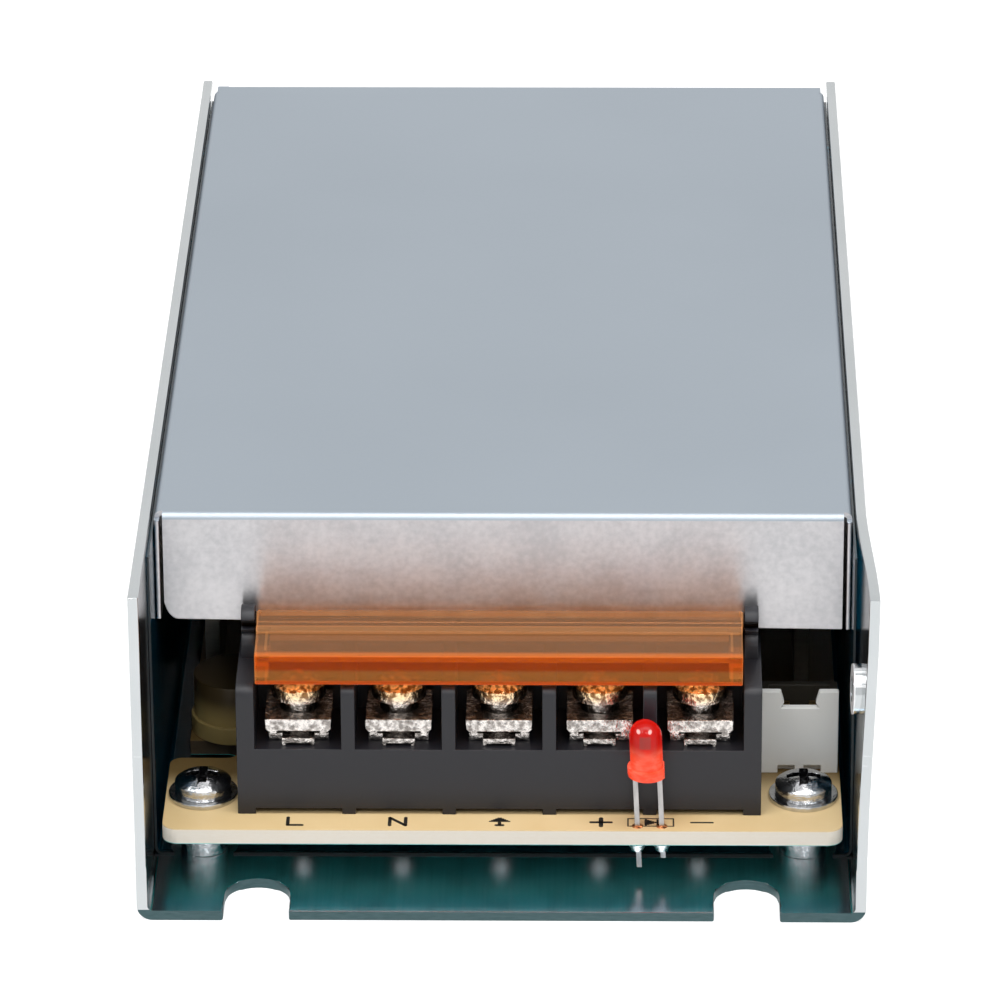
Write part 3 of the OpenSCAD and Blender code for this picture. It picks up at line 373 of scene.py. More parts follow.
def board_laminate():
    """Board: tan printed side, pale cut edge, and green soldered side with tracks under the mask; the
    printed side and cut edges are painted dark towards the back as shade.
    """
    f = Finish("board_laminate")
    low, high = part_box("circuit_board")
    height = f.axis("Z")
    skin, skin_fade = 0.04 * MM, 0.12 * MM
    face = f.step(height, high.z - skin_fade, high.z - skin)
    under = 1.0 - f.step(height, low.z + skin, low.z + skin_fade)
    fibre = f.noise((2200.0, 700.0, 7000.0), 3.0)
    cloud = f.noise(120.0, 3.0)
    cells = f.add(
        "ShaderNodeTexVoronoi",
        {"feature": "DISTANCE_TO_EDGE", "distance": "CHEBYCHEV"},
        {"Vector": f.place, "Scale": 190.0, "Randomness": 0.8},
    )
    tracks = f.step(cells, 0.05, 0.07)
    # painted shade: the printed side and the cut edges turn dark towards the back
    shade_start, edge_shade_start, shade_full = 7.0 * MM, 10.0 * MM, 12.0 * MM
    face_shade = f.step(f.axis("Y"), low.y + shade_start, low.y + shade_full)
    edge_shade = f.step(f.axis("Y"), low.y + edge_shade_start, low.y + shade_full)
    tan = f.between(cloud, (0.75, 0.53, 0.24), (0.93, 0.72, 0.41))
    dark_tan = f.between(cloud, (0.16, 0.10, 0.03), (0.22, 0.14, 0.05))
    pale = f.between(fibre, (0.97, 0.87, 0.73), (1.0, 0.93, 0.82))
    brown = f.between(fibre, (0.05, 0.035, 0.02), (0.10, 0.07, 0.04))
    printed = f.between(face_shade, tan, dark_tan)
    cut = f.between(edge_shade, pale, brown)
    mask = f.between(tracks, (0.08, 0.66, 0.63), (0.12, 0.88, 0.85))
    return f.surface(
        Base_Color=f.between(under, f.between(face, cut, printed), mask),
        Roughness=0.36 + 0.22 * fibre - 0.16 * under,
        Normal=f.bump(fibre, 2e-5, 0.4),
    )


def moulded(name, dark, light, roughness, grain=3600.0):
    """Plain moulded plastic: a fine grain, soft flow marks and a slightly uneven gloss."""
    f = Finish(name)
    flow = f.noise(140.0, 3.0)
    fine = f.noise(grain, 2.0)
    return f.surface(
        Base_Color=f.between(0.7 * flow + 0.3 * fine, dark, light),
        Roughness=roughness + 0.12 * (flow - 0.5) + 0.08 * fine,
        Normal=f.bump(fine + flow, 1.2e-5, 0.5),
    )


def black_plastic():
    """Black moulding of the terminal block, the chips and the bobbin."""
    return moulded("black_plastic", (0.0062, 0.0062, 0.0092), (0.0118, 0.0118, 0.0168), 0.42)


def amber_plastic():
    """Clear amber plastic of the flip cover: paler and greyer on top, deep orange in front with a painted
    lighter band low down, and a painted glow along its edges and rib.
    """
    f = Finish("amber_plastic")
    low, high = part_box("flip_cover")
    back, up, across = f.axis("Y"), f.axis("Z"), f.axis("X")
    flow = f.noise((60.0, 420.0, 420.0), 3.0)
    specks = f.step(f.noise(1500.0, 2.0), 0.66, 0.74)
    wall, rib_start, rib_end, pin = 0.9 * MM, 4.0 * MM, 5.1 * MM, 1.45 * MM
    front = 1.0 - f.step(back, low.y + 0.2 * MM, low.y + wall)
    # the top's tint is only paler and greyer than the front
    greyer_top = f.between(0.6 * flow + 0.4 * specks, (0.54, 0.27, 0.118), (0.63, 0.325, 0.15))
    deep = f.between(flow, (0.92, 0.105, 0.0001), (0.97, 0.15, 0.0002))
    brown = f.between(flow, (0.94, 0.36, 0.055), (1.0, 0.44, 0.09))
    # painted light: the lower band of the front is lighter, standing for the screw heads behind it and
    # their reflection
    lower_half = f.band(up, low.z + 0.45 * MM, low.z + 1.5 * MM, 0.2 * MM)
    # painted highlights: the top, bottom, frame, end and rear lines and the rib glow by emission
    top_line = front * f.step(up, low.z + 2.90 * MM, low.z + 3.04 * MM)
    bottom_line = front * (1.0 - f.step(up, low.z + 0.1 * MM, low.z + 0.4 * MM))
    rib = f.band(back, low.y + rib_start, low.y + rib_end, 0.15 * MM)
    body = f.band(across, low.x + pin, high.x - pin, 0.05 * MM)
    outside, inside = pin + 1.0 * MM, pin + 1.25 * MM
    frame_line = f.band(across, low.x + outside, high.x - outside, 0.04 * MM)
    frame_line = frame_line - f.band(across, low.x + inside, high.x - inside, 0.04 * MM)
    frame_line = frame_line * f.band(back, low.y + wall, low.y + rib_start, 0.1 * MM)
    end = pin + 0.2 * MM
    end_line = 1.0 - f.band(across, low.x + end, high.x - end, 0.04 * MM)
    rear_line = f.step(back, high.y - 0.30 * MM, high.y - 0.18 * MM)
    lines = 0.2 * bottom_line + 0.4 * frame_line + 0.5 * end_line + 0.5 * rear_line
    painted_glow = body * (top_line + 0.46 * rib + lines)
    amber = f.between(front, greyer_top, f.between(lower_half, deep, brown))
    return f.surface(
        Base_Color=f.between(body, (0.02, 0.008, 0.003), amber),
        Roughness=0.06 + 0.08 * flow + 0.14 * specks,
        Transmission_Weight=0.76,
        Specular_IOR_Level=0.02,
        IOR=1.22,
        Emission_Color=f.between(painted_glow, (0.0, 0.0, 0.0), (0.29, 0.125, 0.036)),
        Emission_Strength=1.0,
        Normal=f.bump(flow + specks, 1e-5, 0.35),
    )


def pale_metal():
    """Drawn collar in the right wall: pale, rough and burred."""
    f = Finish("pale_metal")
    burrs = f.noise(1700.0, 3.0)
    return f.surface(
        Base_Color=f.between(burrs, (0.74, 0.75, 0.76), (0.96, 0.96, 0.97)),
        Metallic=1.0,
        Roughness=0.42 + 0.25 * burrs,
        Normal=f.bump(burrs, 1.2e-4, 0.8),
    )


def solder():
    """Soldered joints under the board: bright, a little dull and lumpy."""
    f = Finish("solder")
    lumps = f.noise(2200.0, 3.0)
    return f.surface(
        Base_Color=f.between(lumps, (0.58, 0.59, 0.60), (0.78, 0.78, 0.78)),
        Metallic=1.0,
        Roughness=0.18 + 0.20 * lumps,
        Normal=f.bump(lumps, 8e-5, 0.6),
    )


def red_plastic():
    """Red lens of the lamp: deep red above with the cup showing and two painted highlights, glowing
    below.
    """
    f = Finish("red_plastic")
    low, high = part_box("lamp_lens")
    tall = high.z - low.z
    above_board = low.z + 0.6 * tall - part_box("circuit_board")[1].z
    middle = (low.x + high.x) / 2.0 - LAMP_LEAN * above_board
    halfway_back = (low.y + high.y) / 2.0
    across, up = f.axis("X"), f.axis("Z")
    milky = f.noise(500.0, 2.0)
    rise = f.step(up, low.z + 0.36 * tall, low.z + 0.66 * tall)
    cup = f.band(up, low.z + 0.60 * tall, low.z + 0.82 * tall, 0.02 * tall)
    cup = cup * f.band(across, middle - 0.50 * MM, middle + 0.55 * MM, 0.12 * MM)
    # two painted highlights: white dots that glow near the top of the lens front
    painted_highlights = 0.0
    highlight_sides, highlight_height, highlight_core, highlight_rim = (-0.60, 0.48), 0.89, 0.008, 0.05
    for side in highlight_sides:
        beside = across - (middle + side * MM)
        above = up - (low.z + highlight_height * tall)
        off_highlight = beside * beside + above * above
        painted_highlights = painted_highlights + (1.0 - f.step(off_highlight, highlight_core * MM * MM, highlight_rim * MM * MM))
    painted_highlights = painted_highlights * (1.0 - f.step(f.axis("Y"), halfway_back - 0.1 * MM, halfway_back))
    streaks = f.step(f.noise((520.0, 520.0, 1100.0), 3.0), 0.38, 0.66)
    lower_red = f.between(streaks, (0.96, 0.085, 0.04), (1.0, 0.25, 0.16))
    red = f.between(rise, lower_red, (0.80, 0.012, 0.008))
    glow = f.between(rise, (0.29, 0.032, 0.012), (0.035, 0.001, 0.0006))
    return f.surface(
        Base_Color=f.between(0.7 * cup, red, (0.30, 0.10, 0.085)),
        Roughness=0.06 + 0.05 * milky,
        Transmission_Weight=0.40,
        Specular_IOR_Level=0.2,
        IOR=1.36,
        Emission_Color=f.between(painted_highlights, glow, (0.80, 0.62, 0.58)),
        Emission_Strength=1.0,
        Normal=f.bump(milky, 1e-5, 0.3),
    )


def white_plastic():
    """Shroud of the header: white in front, painted dark brown towards the back as shade."""
    f = Finish("white_plastic")
    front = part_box("plug_header")[0].y
    flow = f.noise(140.0, 3.0)
    # painted shade: the shroud turns dark brown towards the back
    back_shade = f.step(f.axis("Y"), front + 1.4 * MM, front + 3.2 * MM)
    white = f.between(flow, (0.86, 0.86, 0.83), (0.96, 0.96, 0.93))
    return f.surface(
        Base_Color=f.between(back_shade, white, (0.045, 0.04, 0.03)),
        Roughness=0.40 + 0.12 * flow,
        Normal=f.bump(flow, 1.2e-5, 0.5),
    )


def brass_pin():
    """Gilt brass of the header's pins."""
    f = Finish("brass_pin")
    dull = f.noise(1400.0, 2.0)
    return f.surface(
        Base_Color=f.between(dull, (0.62, 0.40, 0.14), (0.80, 0.58, 0.26)),
        Metallic=1.0,
        Roughness=0.16 + 0.18 * dull,
        Normal=f.bump(dull, 1e-5, 0.4),
    )


def beige_plastic():
    """Drum of the line fuse, and the resistors: beige below and painted dark brown towards the drum's top
    as shade.
    """
    f = Finish("beige_plastic")
    low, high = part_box("line_fuse")
    tall = high.z - low.z
    flow = f.noise(140.0, 3.0)
    # painted shade: the drum turns dark brown towards its top
    up = f.step(f.axis("Z"), low.z + 0.35 * tall, low.z + 0.80 * tall)
    beige = f.between(flow, (0.40, 0.29, 0.10), (0.56, 0.42, 0.17))
    brown = f.between(flow, (0.05, 0.032, 0.012), (0.09, 0.06, 0.022))
    return f.surface(
        Base_Color=f.between(up, beige, brown),
        Roughness=0.36 + 0.14 * flow,
        Normal=f.bump(flow, 2e-5, 0.4),
    )


def tinned_wire():
    """Dull tinned wire of the lamp's leads."""
    f = Finish("tinned_wire")
    dull = f.noise((1600.0, 1600.0, 500.0), 3.0)
    return f.surface(
        Base_Color=f.between(dull, (0.26, 0.25, 0.245), (0.58, 0.56, 0.55)),
        Metallic=1.0,
        Roughness=0.22 + 0.18 * dull,
        Normal=f.bump(dull, 3e-5, 0.5),
    )


def yellow_plastic():
    """Yellow box of the filter capacitor."""
    return moulded("yellow_plastic", (0.72, 0.50, 0.06), (0.82, 0.60, 0.10), 0.40)


def disc_coating():
    """Blue lacquer of the disc-shaped parts."""
    return moulded("disc_coating", (0.05, 0.16, 0.36), (0.08, 0.22, 0.45), 0.30)


def ferrite():
    """Dark, dull ceramic of the cores."""
    return moulded("ferrite", (0.028, 0.029, 0.032), (0.07, 0.07, 0.075), 0.62, 6400.0)


def copper_wire():
    """Enamelled copper: close turns of wire round a winding."""
    f = Finish("copper_wire")
    turns = f.add(
        "ShaderNodeTexWave",
        {"wave_type": "BANDS", "bands_direction": "DIAGONAL"},
        {"Vector": f.place, "Scale": 520.0, "Distortion": 0.6},
    )
    return f.surface(
        Base_Color=f.between(turns, (0.30, 0.10, 0.035), (0.72, 0.30, 0.12)),
        Metallic=0.85,
        Roughness=0.22 + 0.14 * turns,
        Normal=f.bump(turns, 1.2e-4, 0.8),
    )


def sleeve_plastic():
    """Dark blue sleeve shrunk over the round capacitors."""
    return moulded("sleeve_plastic", (0.010, 0.022, 0.05), (0.02, 0.04, 0.09), 0.26)


def yellow_tape():
    """Yellow tape wound over the transformer, with the laps showing as fine lines."""
    f = Finish("yellow_tape")
    laps = f.noise((120.0, 120.0, 2600.0), 2.0)
    return f.surface(
        Base_Color=f.between(laps, (0.72, 0.48, 0.03), (0.88, 0.66, 0.08)),
        Roughness=0.24 + 0.16 * laps,
        Normal=f.bump(laps, 4e-5, 0.5),
    )


def spreader_metal():
    """Plain aluminium plates that carry heat away."""
    f = Finish("spreader_metal")
    rolling = f.noise((300.0, 4200.0, 4200.0), 3.0)
    return f.surface(
        Base_Color=f.between(rolling, (0.30, 0.28, 0.24), (0.44, 0.41, 0.36)),
        Metallic=1.0,
        Roughness=0.30 + 0.16 * rolling,
        Normal=f.bump(rolling, 1e-5, 0.4),
    )


def grey_pad():
    """Soft grey pads between the transistors and their plates."""
    return moulded("grey_pad", (0.22, 0.23, 0.24), (0.32, 0.33, 0.34), 0.72, 8800.0)


def board_ink():
    """Black ink printed on the board, a little thin in places."""
    f = Finish("board_ink")
    thin = f.step(f.noise(2600.0, 3.0), 0.52, 0.72)
    return f.surface(
        Base_Color=f.between(thin, (0.012, 0.011, 0.010), (0.09, 0.066, 0.036)),
        Roughness=0.5 + 0.2 * thin,
        Normal=f.bump(thin, 4e-6, 0.4),
    )


def lamp_heart():
    """Frame inside the lamp, seen through the lens."""
    return moulded("lamp_heart", (0.50, 0.42, 0.38), (0.66, 0.57, 0.52), 0.35)


FINISHES = {
    make.__name__: make()
    for make in (
        plated_sheet,
        floor_sheet,
        cut_sheet,
        pale_metal,
        grey_sheet,
        frosted_sheet,
        bright_metal,
        slot_metal,
        tumbled_metal,
        blue_film,
        board_laminate,
        black_plastic,
        amber_plastic,
        solder,
        red_plastic,
        white_plastic,
        brass_pin,
        beige_plastic,
        tinned_wire,
        yellow_plastic,
        disc_coating,
        ferrite,
        copper_wire,
        sleeve_plastic,
        yellow_tape,
        spreader_metal,
        grey_pad,
        board_ink,
        lamp_heart,
    )
}
SLOTS = {part["node"]: part["material_slot"] for part in frame["record"]["subparts"]}
BODIES = {
    node: body for body, nodes in frame["record"]["behaviour"]["bodies"].items() for node in nodes
}


def finish_nodes():
    """Gives every CAD node the finish of its slot."""
    for node, thing in frame["nodes"].items():
        thing.data.materials.clear()
        thing.data.materials.append(FINISHES[SLOTS[node]])


def piece_from(form, name, body, slot, finish=None):
    """Makes a piece of a bmesh. It rides on a body, and takes a slot's finish unless another is named."""
    mesh = bpy.data.meshes.new(name)
    form.to_mesh(mesh)
    form.free()
    piece = bpy.data.objects.new(name, mesh)
    bpy.context.scene.collection.objects.link(piece)
    mesh.materials.append(FINISHES[finish or slot])
    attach(piece, body)
    return piece


def smooth_with_sharp_edges(mesh):
    """Shades a mesh smooth between its sharp edges."""
    for face in mesh.polygons:
        face.use_smooth = True
    mesh.set_sharp_from_angle(angle=SHARP_ANGLE)


def node_form(node):
    """A node's solid as a bmesh, with its flat faces whole again."""
    source = frame["nodes"][node].data
    form = bmesh.new()
    corners = [form.verts.new(v.co) for v in source.vertices]
    for face in source.polygons:
        form.faces.new([corners[i] for i in face.vertices])
    bmesh.ops.remove_doubles(form, verts=form.verts[:], dist=WELD)
    bmesh.ops.dissolve_limit(form, angle_limit=FLAT_ANGLE, verts=form.verts[:], edges=form.edges[:])
    return form


def mark_sharp_edges(form, width):
    """Marks the edges to ease: the outward ones with room enough for the width at both ends."""
    weight = form.edges.layers.float.new("bevel_weight_edge")
    for edge in form.edges:
        near = [other for corner in edge.verts for other in corner.link_edges]
        roomy = min(other.calc_length() for other in near) > ROOM_TO_EASE * width
        if roomy and edge.is_manifold and edge.calc_face_angle_signed() > EDGE_ANGLE:
            edge[weight] = 1.0


def settle(piece):
    """Makes a piece's modifiers part of its mesh."""
    seen = piece.evaluated_get(bpy.context.evaluated_depsgraph_get())
    piece.data = bpy.data.meshes.new_from_object(seen)
    piece.modifiers.clear()


def eased(node, width, reshape=None, finish=None):
    """A copy of a node with its sharp edges eased, which stands for the node on its body."""
    form = node_form(node)
    if reshape:
        reshape(form)
    mark_sharp_edges(form, width * MM)
    piece = piece_from(form, node + "_eased", BODIES[node], SLOTS[node], finish)
    bevel = piece.modifiers.new("eased", "BEVEL")
    bevel.width = width * MM
    bevel.segments = 2
    bevel.limit_method = "WEIGHT"
    bevel.use_clamp_overlap = False
    settle(piece)
    smooth_with_sharp_edges(piece.data)
    piece.modifiers.new("flat_faces", "WEIGHTED_NORMAL").keep_sharp = True
    settle(piece)
    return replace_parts(piece, node)


def smooth_rise(value, low, high):
    """A smooth rise from 0 to 1 as a number goes from low to high."""
    share = min(1.0, max(0.0, (value - low) / (high - low)))
    return share * share * (3.0 - 2.0 * share)


def cut_across(form, place, way):
    """Cuts every face along a plane, so that the form can bend there."""
    geometry = form.verts[:] + form.edges[:] + form.faces[:]
    bmesh.ops.bisect_plane(form, geom=geometry, plane_co=place, plane_no=way)


def sprung_wall(form):
    """Springs the right wall's upper front corner outwards, as in the photograph."""
    low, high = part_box("chassis")
    reach, spring, wall_depth, foot = 20.0 * MM, 0.75 * MM, 3.0 * MM, 0.15
    strips, rows = 8, 6
    for k in range(strips):
        cut_across(form, (0.0, low.y + reach * (k + 0.5) / strips, 0.0), (0.0, 1.0, 0.0))
    for height in [FLOOR_TOP] + [high.z * k / rows for k in range(1, rows)]:
        cut_across(form, (0.0, 0.0, height), (0.0, 0.0, 1.0))
    for corner in form.verts:
        if corner.co.x > high.x - wall_depth:
            along = 1.0 - smooth_rise(corner.co.y, low.y, low.y + reach)
            up = smooth_rise(corner.co.z, high.z * foot, high.z)
            corner.co.x += spring * along * up


def skewed_lip(form):
    """Tilts the lower edge of the cover's lip, higher on the left, and rounds its lower left corner."""
    low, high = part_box("cover")
    slope, lip_depth, lip_height, lip_end = 0.0145, 2.0 * MM, 8.0 * MM, 0.75 * MM
    round_width, round_height, strips = 1.4 * MM, 2.3 * MM, 8
    left = low.x + lip_end
    for k in range(1, strips + 1):
        inward = round_width * (1.0 - math.cos(math.pi * k / (2.0 * strips)))
        cut_across(form, (left + inward, 0.0, 0.0), (1.0, 0.0, 0.0))
    for corner in form.verts:
        if corner.co.y < low.y + lip_depth and corner.co.z < high.z - lip_height:
            corner.co.z -= slope * corner.co.x
            inward = (corner.co.x - left) / round_width
            if 0.0 < inward < 1.0:
                corner.co.z += round_height * (1.0 - math.sqrt(1.0 - (1.0 - inward) ** 2))


def leaning_lamp(form):
    """Leans the lamp and its leads a little to the left, about where they enter the board."""
    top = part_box("circuit_board")[1].z
    for corner in form.verts:
        corner.co.x -= LAMP_LEAN * (corner.co.z - top)


def frost_folds(cover):
    """Gives the cover's folded sides the frosted finish, painted paler as light; its top stays matt and
    painted darker as shade.
    """
    cover.data.materials.append(FINISHES["frosted_sheet"])
    for face in cover.data.polygons:
        # faces that look sideways or down take the paler finish, painted light
        if face.normal.z < FOLD_FACING:
            face.material_index = 1


def chassis_region(face, low, high):
    """The finish of a chassis face: 1 on the floor, 2 on its cut edges, 3 on the collar, 0 elsewhere."""
    fold, wall = 2.5 * MM, 1.05 * MM
    collar_reach, collar_low, collar_high = 15.0 * MM, 10.0 * MM, high.z - 4.0 * MM
    place, facing = face.center, face.normal
    between_folds = abs(place.x) < high.x - fold
    if place.z < FLOOR_TOP:
        if between_folds and facing.z > TOP_FACING:
            return 1
        sideways = abs(facing.z) < TOP_FACING
        return 2 if sideways and (between_folds or facing.y < -TOP_FACING) else 0
    inside_wall = high.x - fold < place.x < high.x - wall
    at_collar = place.y < low.y + collar_reach and collar_low < place.z < collar_high
    return 3 if inside_wall and at_collar else 0


def dress_chassis(chassis):
    """Gives the chassis its streaked floor, the dull cut edges round it, painted dark as shade, and the
    pale collar.
    """
    for finish in ("floor_sheet", "cut_sheet", "pale_metal"):
        chassis.data.materials.append(FINISHES[finish])
    low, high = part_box("chassis")
    for face in chassis.data.polygons:
        face.material_index = chassis_region(face, low, high)


def darken_slots(screws):
    """Gives the cross slots in the board screws' heads their dark finish, painted shade."""
    screws.data.materials.append(FINISHES["slot_metal"])
    low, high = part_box("board_screws")
    head_radius, slot_half, slot_reach, slot_depth = 2.7 * MM, 0.45 * MM, 2.4 * MM, 1.6 * MM
    level, upright = 0.95, 0.2
    axes = [
        (x, y)
        for x in (low.x + head_radius, high.x - head_radius)
        for y in (low.y + head_radius, high.y - head_radius)
    ]
    for face in screws.data.polygons:
        offsets = [sorted((abs(face.center.x - x), abs(face.center.y - y))) for x, y in axes]
        narrow, wide = min(offsets, key=sum)
        in_cross = narrow < slot_half and wide < slot_reach and face.center.z > high.z - slot_depth
        if in_cross and (face.normal.z > level or abs(face.normal.z) < upright):
            face.material_index = 1


def eased_pieces():
    """Makes the eased copies of the pieces that show, bent and dressed as in the photograph, with painted
    shade in the screws' slots.
    """
    reshaped = {
        "chassis": sprung_wall,
        "cover": skewed_lip,
        "lamp_lens": leaning_lamp,
        "lamp_leads": leaning_lamp,
    }
    finishes = {"lamp_leads": "tinned_wire"}
    pieces = {
        node: eased(node, width, reshaped.get(node), finishes.get(node))
        for node, width in EASED_EDGES.items()
    }
    frost_folds(pieces["cover"])
    dress_chassis(pieces["chassis"])
    darken_slots(pieces["board_screws"])
    for number in TERMINALS:
        for stem, width in TERMINAL_PIECES.items():
            eased(f"{stem}_{number}", width, finish="tumbled_metal")


def stroke(form, start, end, width, top):
    """A line of ink with round ends, from start to end on the board's face."""
    thickness, sides = 0.025 * MM, 8
    first, last = Vector((*start, 0.0)) * MM, Vector((*end, 0.0)) * MM
    way = (last - first).normalized() if start != end else Vector((1.0, 0.0, 0.0))
    turn = math.atan2(way.y, way.x)
    rim = []
    for centre, lead in ((last, -0.5), (first, 0.5)):
        for k in range(sides + 1):
            angle = turn + math.pi * (lead + k / sides)
            rim.append(centre + Vector((math.cos(angle), math.sin(angle), 0.0)) * (width * MM / 2.0))
    lower = [form.verts.new((p.x, p.y, top)) for p in rim]
    upper = [form.verts.new((p.x, p.y, top + thickness)) for p in rim]
    form.faces.new(upper)
    form.faces.new(list(reversed(lower)))
    for k in range(len(rim)):
        after = (k + 1) % len(rim)
        form.faces.new((lower[k], lower[after], upper[after], upper[k]))


def pen_lines(points, width=PEN):
    """The strokes of a line through points on the board, in millimetres."""
    return [(start, end, width) for start, end in zip(points, points[1:])]


def letter_l(x):
    return pen_lines([(x - 0.6, INK_BACK), (x - 0.6, INK_FRONT), (x + 0.75, INK_FRONT)])


def letter_n(x):
    left, right = x - 0.75, x + 0.75
    return pen_lines([(left, INK_FRONT), (left, INK_BACK), (right, INK_FRONT), (right, INK_BACK)])


def earth_arrow(x):
    """A solid arrow head that points back, on a short stem and a foot."""
    rows, hatch, foot, half_foot = 5, 0.2, INK_FRONT + 0.1, 0.3
    lines = []
    for row in range(rows):
        half, behind = 0.12 + 0.2 * row, INK_BACK - 0.16 * row
        lines += pen_lines([(x - half, behind), (x + half, behind)], hatch)
    lines += pen_lines([(x - half_foot, foot), (x + half_foot, foot)])
    return lines + pen_lines([(x, foot), (x, INK_MIDDLE)])


def plus_sign(x):
    half, broad = 0.95, 0.42
    level = pen_lines([(x - half, INK_MIDDLE), (x + half, INK_MIDDLE)])
    return level + pen_lines([(x, INK_FRONT), (x, INK_BACK)], broad)


def lamp_sign(x):
    """A box round the lamp's leads, with the sign of a diode in it."""
    left, right, bar, half_bar = x - 2.15, x + 2.15, x + 0.65, 0.5
    fine, hatch, bar_pen, rows = 0.14, 0.26, 0.2, 5
    rim = [(left, INK_FRONT), (right, INK_FRONT), (right, INK_BACK), (left, INK_BACK), (left, INK_FRONT)]
    lines = pen_lines(rim, fine)
    for row in range(rows):
        half, spot = half_bar * (1.0 - row / (rows - 1)), x - 0.45 + 0.22 * row
        lines += pen_lines([(spot, INK_MIDDLE - half), (spot, INK_MIDDLE + half)], hatch)
    return lines + pen_lines([(bar, INK_MIDDLE - half_bar), (bar, INK_MIDDLE + half_bar)], bar_pen)


def minus_sign(x):
    half, thin = 1.0, 0.24
    return pen_lines([(x - half, INK_MIDDLE), (x + half, INK_MIDDLE)], thin)


def board_marks():
    """Printed marks in front of the terminals, each with its place across the board in millimetres."""
    marks = (
        (letter_l, -19.7),
        (letter_n, -9.9),
        (earth_arrow, -0.25),
        (plus_sign, 9.35),
        (lamp_sign, 14.05),
        (minus_sign, 18.9),
    )
    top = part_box("circuit_board")[1].z
    form = bmesh.new()
    for draw, x in marks:
        for start, end, width in draw(x):
            stroke(form, start, end, width, top)
    piece_from(form, "board_marks", "case", "black_plastic", "board_ink")


def lathe(form, centre, profile, sides=24):
    """Turns a profile of (radius, height) pairs in millimetres round an upright line through centre."""
    rings = []
    for radius, height in profile:
        ring = []
        for k in range(sides):
            angle = 2.0 * math.pi * k / sides
            side = Vector((math.cos(angle), math.sin(angle), 0.0)) * (radius * MM)
            ring.append(form.verts.new(centre + side + Vector((0.0, 0.0, height * MM))))
        rings.append(ring)
    for lower, upper in zip(rings, rings[1:]):
        for k in range(sides):
            after = (k + 1) % sides
            form.faces.new((lower[k], lower[after], upper[after], upper[k]))
    form.faces.new(list(reversed(rings[0])))
    form.faces.new(rings[-1])


def lead_fillets():
    """Flux-brown fillets of solder where the lamp's leads enter the board."""
    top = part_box("circuit_board")[1].z
    low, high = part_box("lamp_leads")
    half_lead = 0.25 * MM
    profile = [(0.55, 0.0), (0.5, 0.05), (0.36, 0.1), (0.3, 0.2)]
    form = bmesh.new()
    for x in (low.x + half_lead, high.x - half_lead):
        lathe(form, Vector((x, (low.y + high.y) / 2.0, top)), profile)
    piece = piece_from(form, "lead_fillets", "case", "copper_wire")
    smooth_with_sharp_edges(piece.data)


def lamp_post(form, middle, size, taper):
    """An upright post inside the lamp, narrower across at its foot."""
    shape = Matrix.Translation(middle) @ Matrix.Diagonal((*size, 1.0))
    post = bmesh.ops.create_cube(form, size=1.0, matrix=shape)
    for corner in post["verts"]:
        if corner.co.z < middle.z:
            corner.co.x = middle.x + (corner.co.x - middle.x) * taper


def lamp_frame():
    """Two posts inside the lamp's lens, one with the cup that holds the chip."""
    low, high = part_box("lamp_lens")
    centre = (low + high) / 2.0
    tall = high.z - low.z
    foot, depth, taper, rounding = 0.06, 0.42 * MM, 0.6, 0.03 * MM
    cup_side, cup_height = -0.42, 0.62
    cup_profile = [(0.30, 0.0), (0.46, 0.30), (0.40, 0.30), (0.16, 0.10)]
    form = bmesh.new()
    for side, width, top in ((cup_side, 0.78, cup_height), (0.62, 0.36, 0.58)):
        middle = Vector((centre.x + side * MM, centre.y, low.z + tall * (top + foot) / 2.0))
        lamp_post(form, middle, (width * MM, depth, tall * (top - foot)), taper)
    cup = Vector((centre.x + cup_side * MM, centre.y, low.z + tall * cup_height))
    lathe(form, cup, cup_profile, 16)
    bmesh.ops.bevel(form, geom=form.edges[:], offset=rounding, segments=1, affect="EDGES")
    leaning_lamp(form)
    piece_from(form, "lamp_frame", "case", "red_plastic", "lamp_heart")


def studio_floor():
    """A white floor that keeps the part's shadow."""
    f = Finish("studio_floor")
    grey, lift, squares, half_size = 0.60, 0.64, 8, 4.0
    paper = f.add("ShaderNodeBsdfDiffuse", sockets={"Color": (grey, grey, grey)})
    glow = f.add("ShaderNodeEmission", sockets={"Color": WHITE, "Strength": lift})
    lifted = f.add("ShaderNodeAddShader", sockets={0: paper, 1: glow})
    mix = f.add("ShaderNodeMixShader", sockets={0: f.shown(), 1: paper, 2: lifted})
    f.add("ShaderNodeOutputMaterial", sockets={"Surface": mix})
    form = bmesh.new()
    bmesh.ops.create_grid(form, x_segments=squares, y_segments=squares, size=half_size)
    mesh = bpy.data.meshes.new("studio_floor")
    form.to_mesh(mesh)
    form.free()
    mesh.materials.append(f.material)
    floor = bpy.data.objects.new("studio_floor", mesh)
    bpy.context.scene.collection.objects.link(floor)


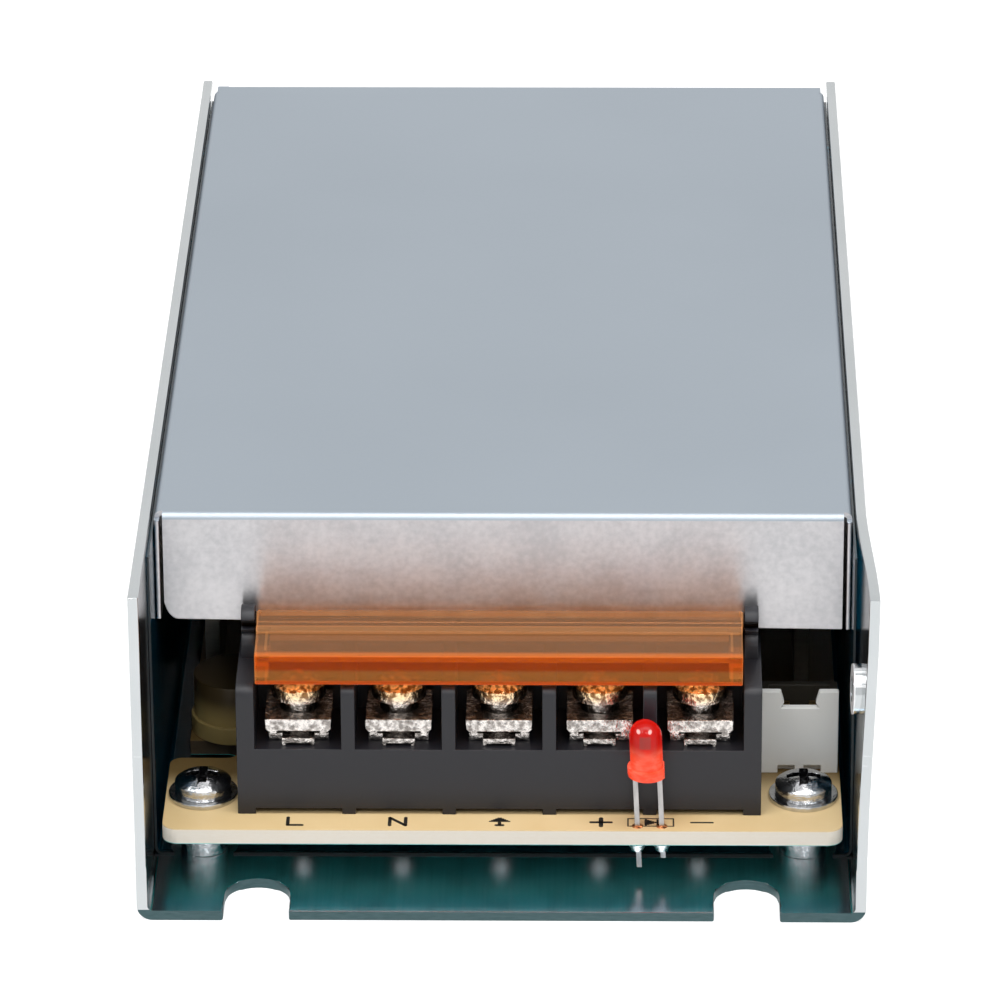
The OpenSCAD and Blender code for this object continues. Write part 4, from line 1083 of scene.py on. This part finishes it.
def studio_light():
    """A white world that dims towards the horizon, a wide soft lamp overhead and two weak ones."""
    world = bpy.data.worlds.new("studio")
    bpy.context.scene.world = world
    nodes = Nodes(world)
    way = nodes.add("ShaderNodeTexCoord", output="Generated")
    height = nodes.add("ShaderNodeSeparateXYZ", sockets={0: way}, output="Z")
    rise = nodes.add("ShaderNodeMapRange", sockets={"Value": height, "From Min": 0.1, "From Max": 0.9})
    dim, bright, full = 0.12, 0.62, 1.0
    horizon, zenith, backdrop = (
        nodes.add("ShaderNodeBackground", sockets={"Color": WHITE, "Strength": strength})
        for strength in (dim, bright, full)
    )
    fill = nodes.add("ShaderNodeMixShader", sockets={0: rise, 1: horizon, 2: zenith})
    mix = nodes.add("ShaderNodeMixShader", sockets={0: nodes.shown(), 1: fill, 2: backdrop})
    nodes.add("ShaderNodeOutputWorld", sockets={"Surface": mix})
    for name, (place, size, power) in SOFTBOXES.items():
        softbox(name, place, size, power)


def softbox(name, place, size, power):
    """A soft lamp that looks at the terminals."""
    lamp = bpy.data.lights.new(name, "AREA")
    lamp.shape = "RECTANGLE"
    lamp.size, lamp.size_y = size
    lamp.energy = power
    box = bpy.data.objects.new(name, lamp)
    box.location = place
    box.rotation_mode = "QUATERNION"
    box.rotation_quaternion = (LIT_POINT - Vector(place)).to_track_quat("-Z", "Y")
    bpy.context.scene.collection.objects.link(box)


def photo_camera():
    """A camera fitted to the photograph's view."""
    turn, tilt, roll = (math.radians(angle) for angle in (CAMERA_TURN, CAMERA_TILT, CAMERA_ROLL))
    data = bpy.data.cameras.new("photo_camera")
    data.lens = CAMERA_LENS
    data.sensor_width = CAMERA_SENSOR
    data.clip_start, data.clip_end = 0.05, 30.0
    camera = bpy.data.objects.new("photo_camera", data)
    camera.matrix_world = (
        Matrix.Translation(CAMERA_PLACE)
        @ Matrix.Rotation(turn, 4, "Z")
        @ Matrix.Rotation(math.pi / 2.0 - tilt, 4, "X")
        @ Matrix.Rotation(roll, 4, "Z")
    )
    bpy.context.scene.collection.objects.link(camera)
    bpy.context.scene.camera = camera


finish_nodes()
eased_pieces()
board_marks()
lead_fillets()
lamp_frame()
studio_floor()
studio_light()
photo_camera()
bpy.context.scene.view_settings.view_transform = "Standard"
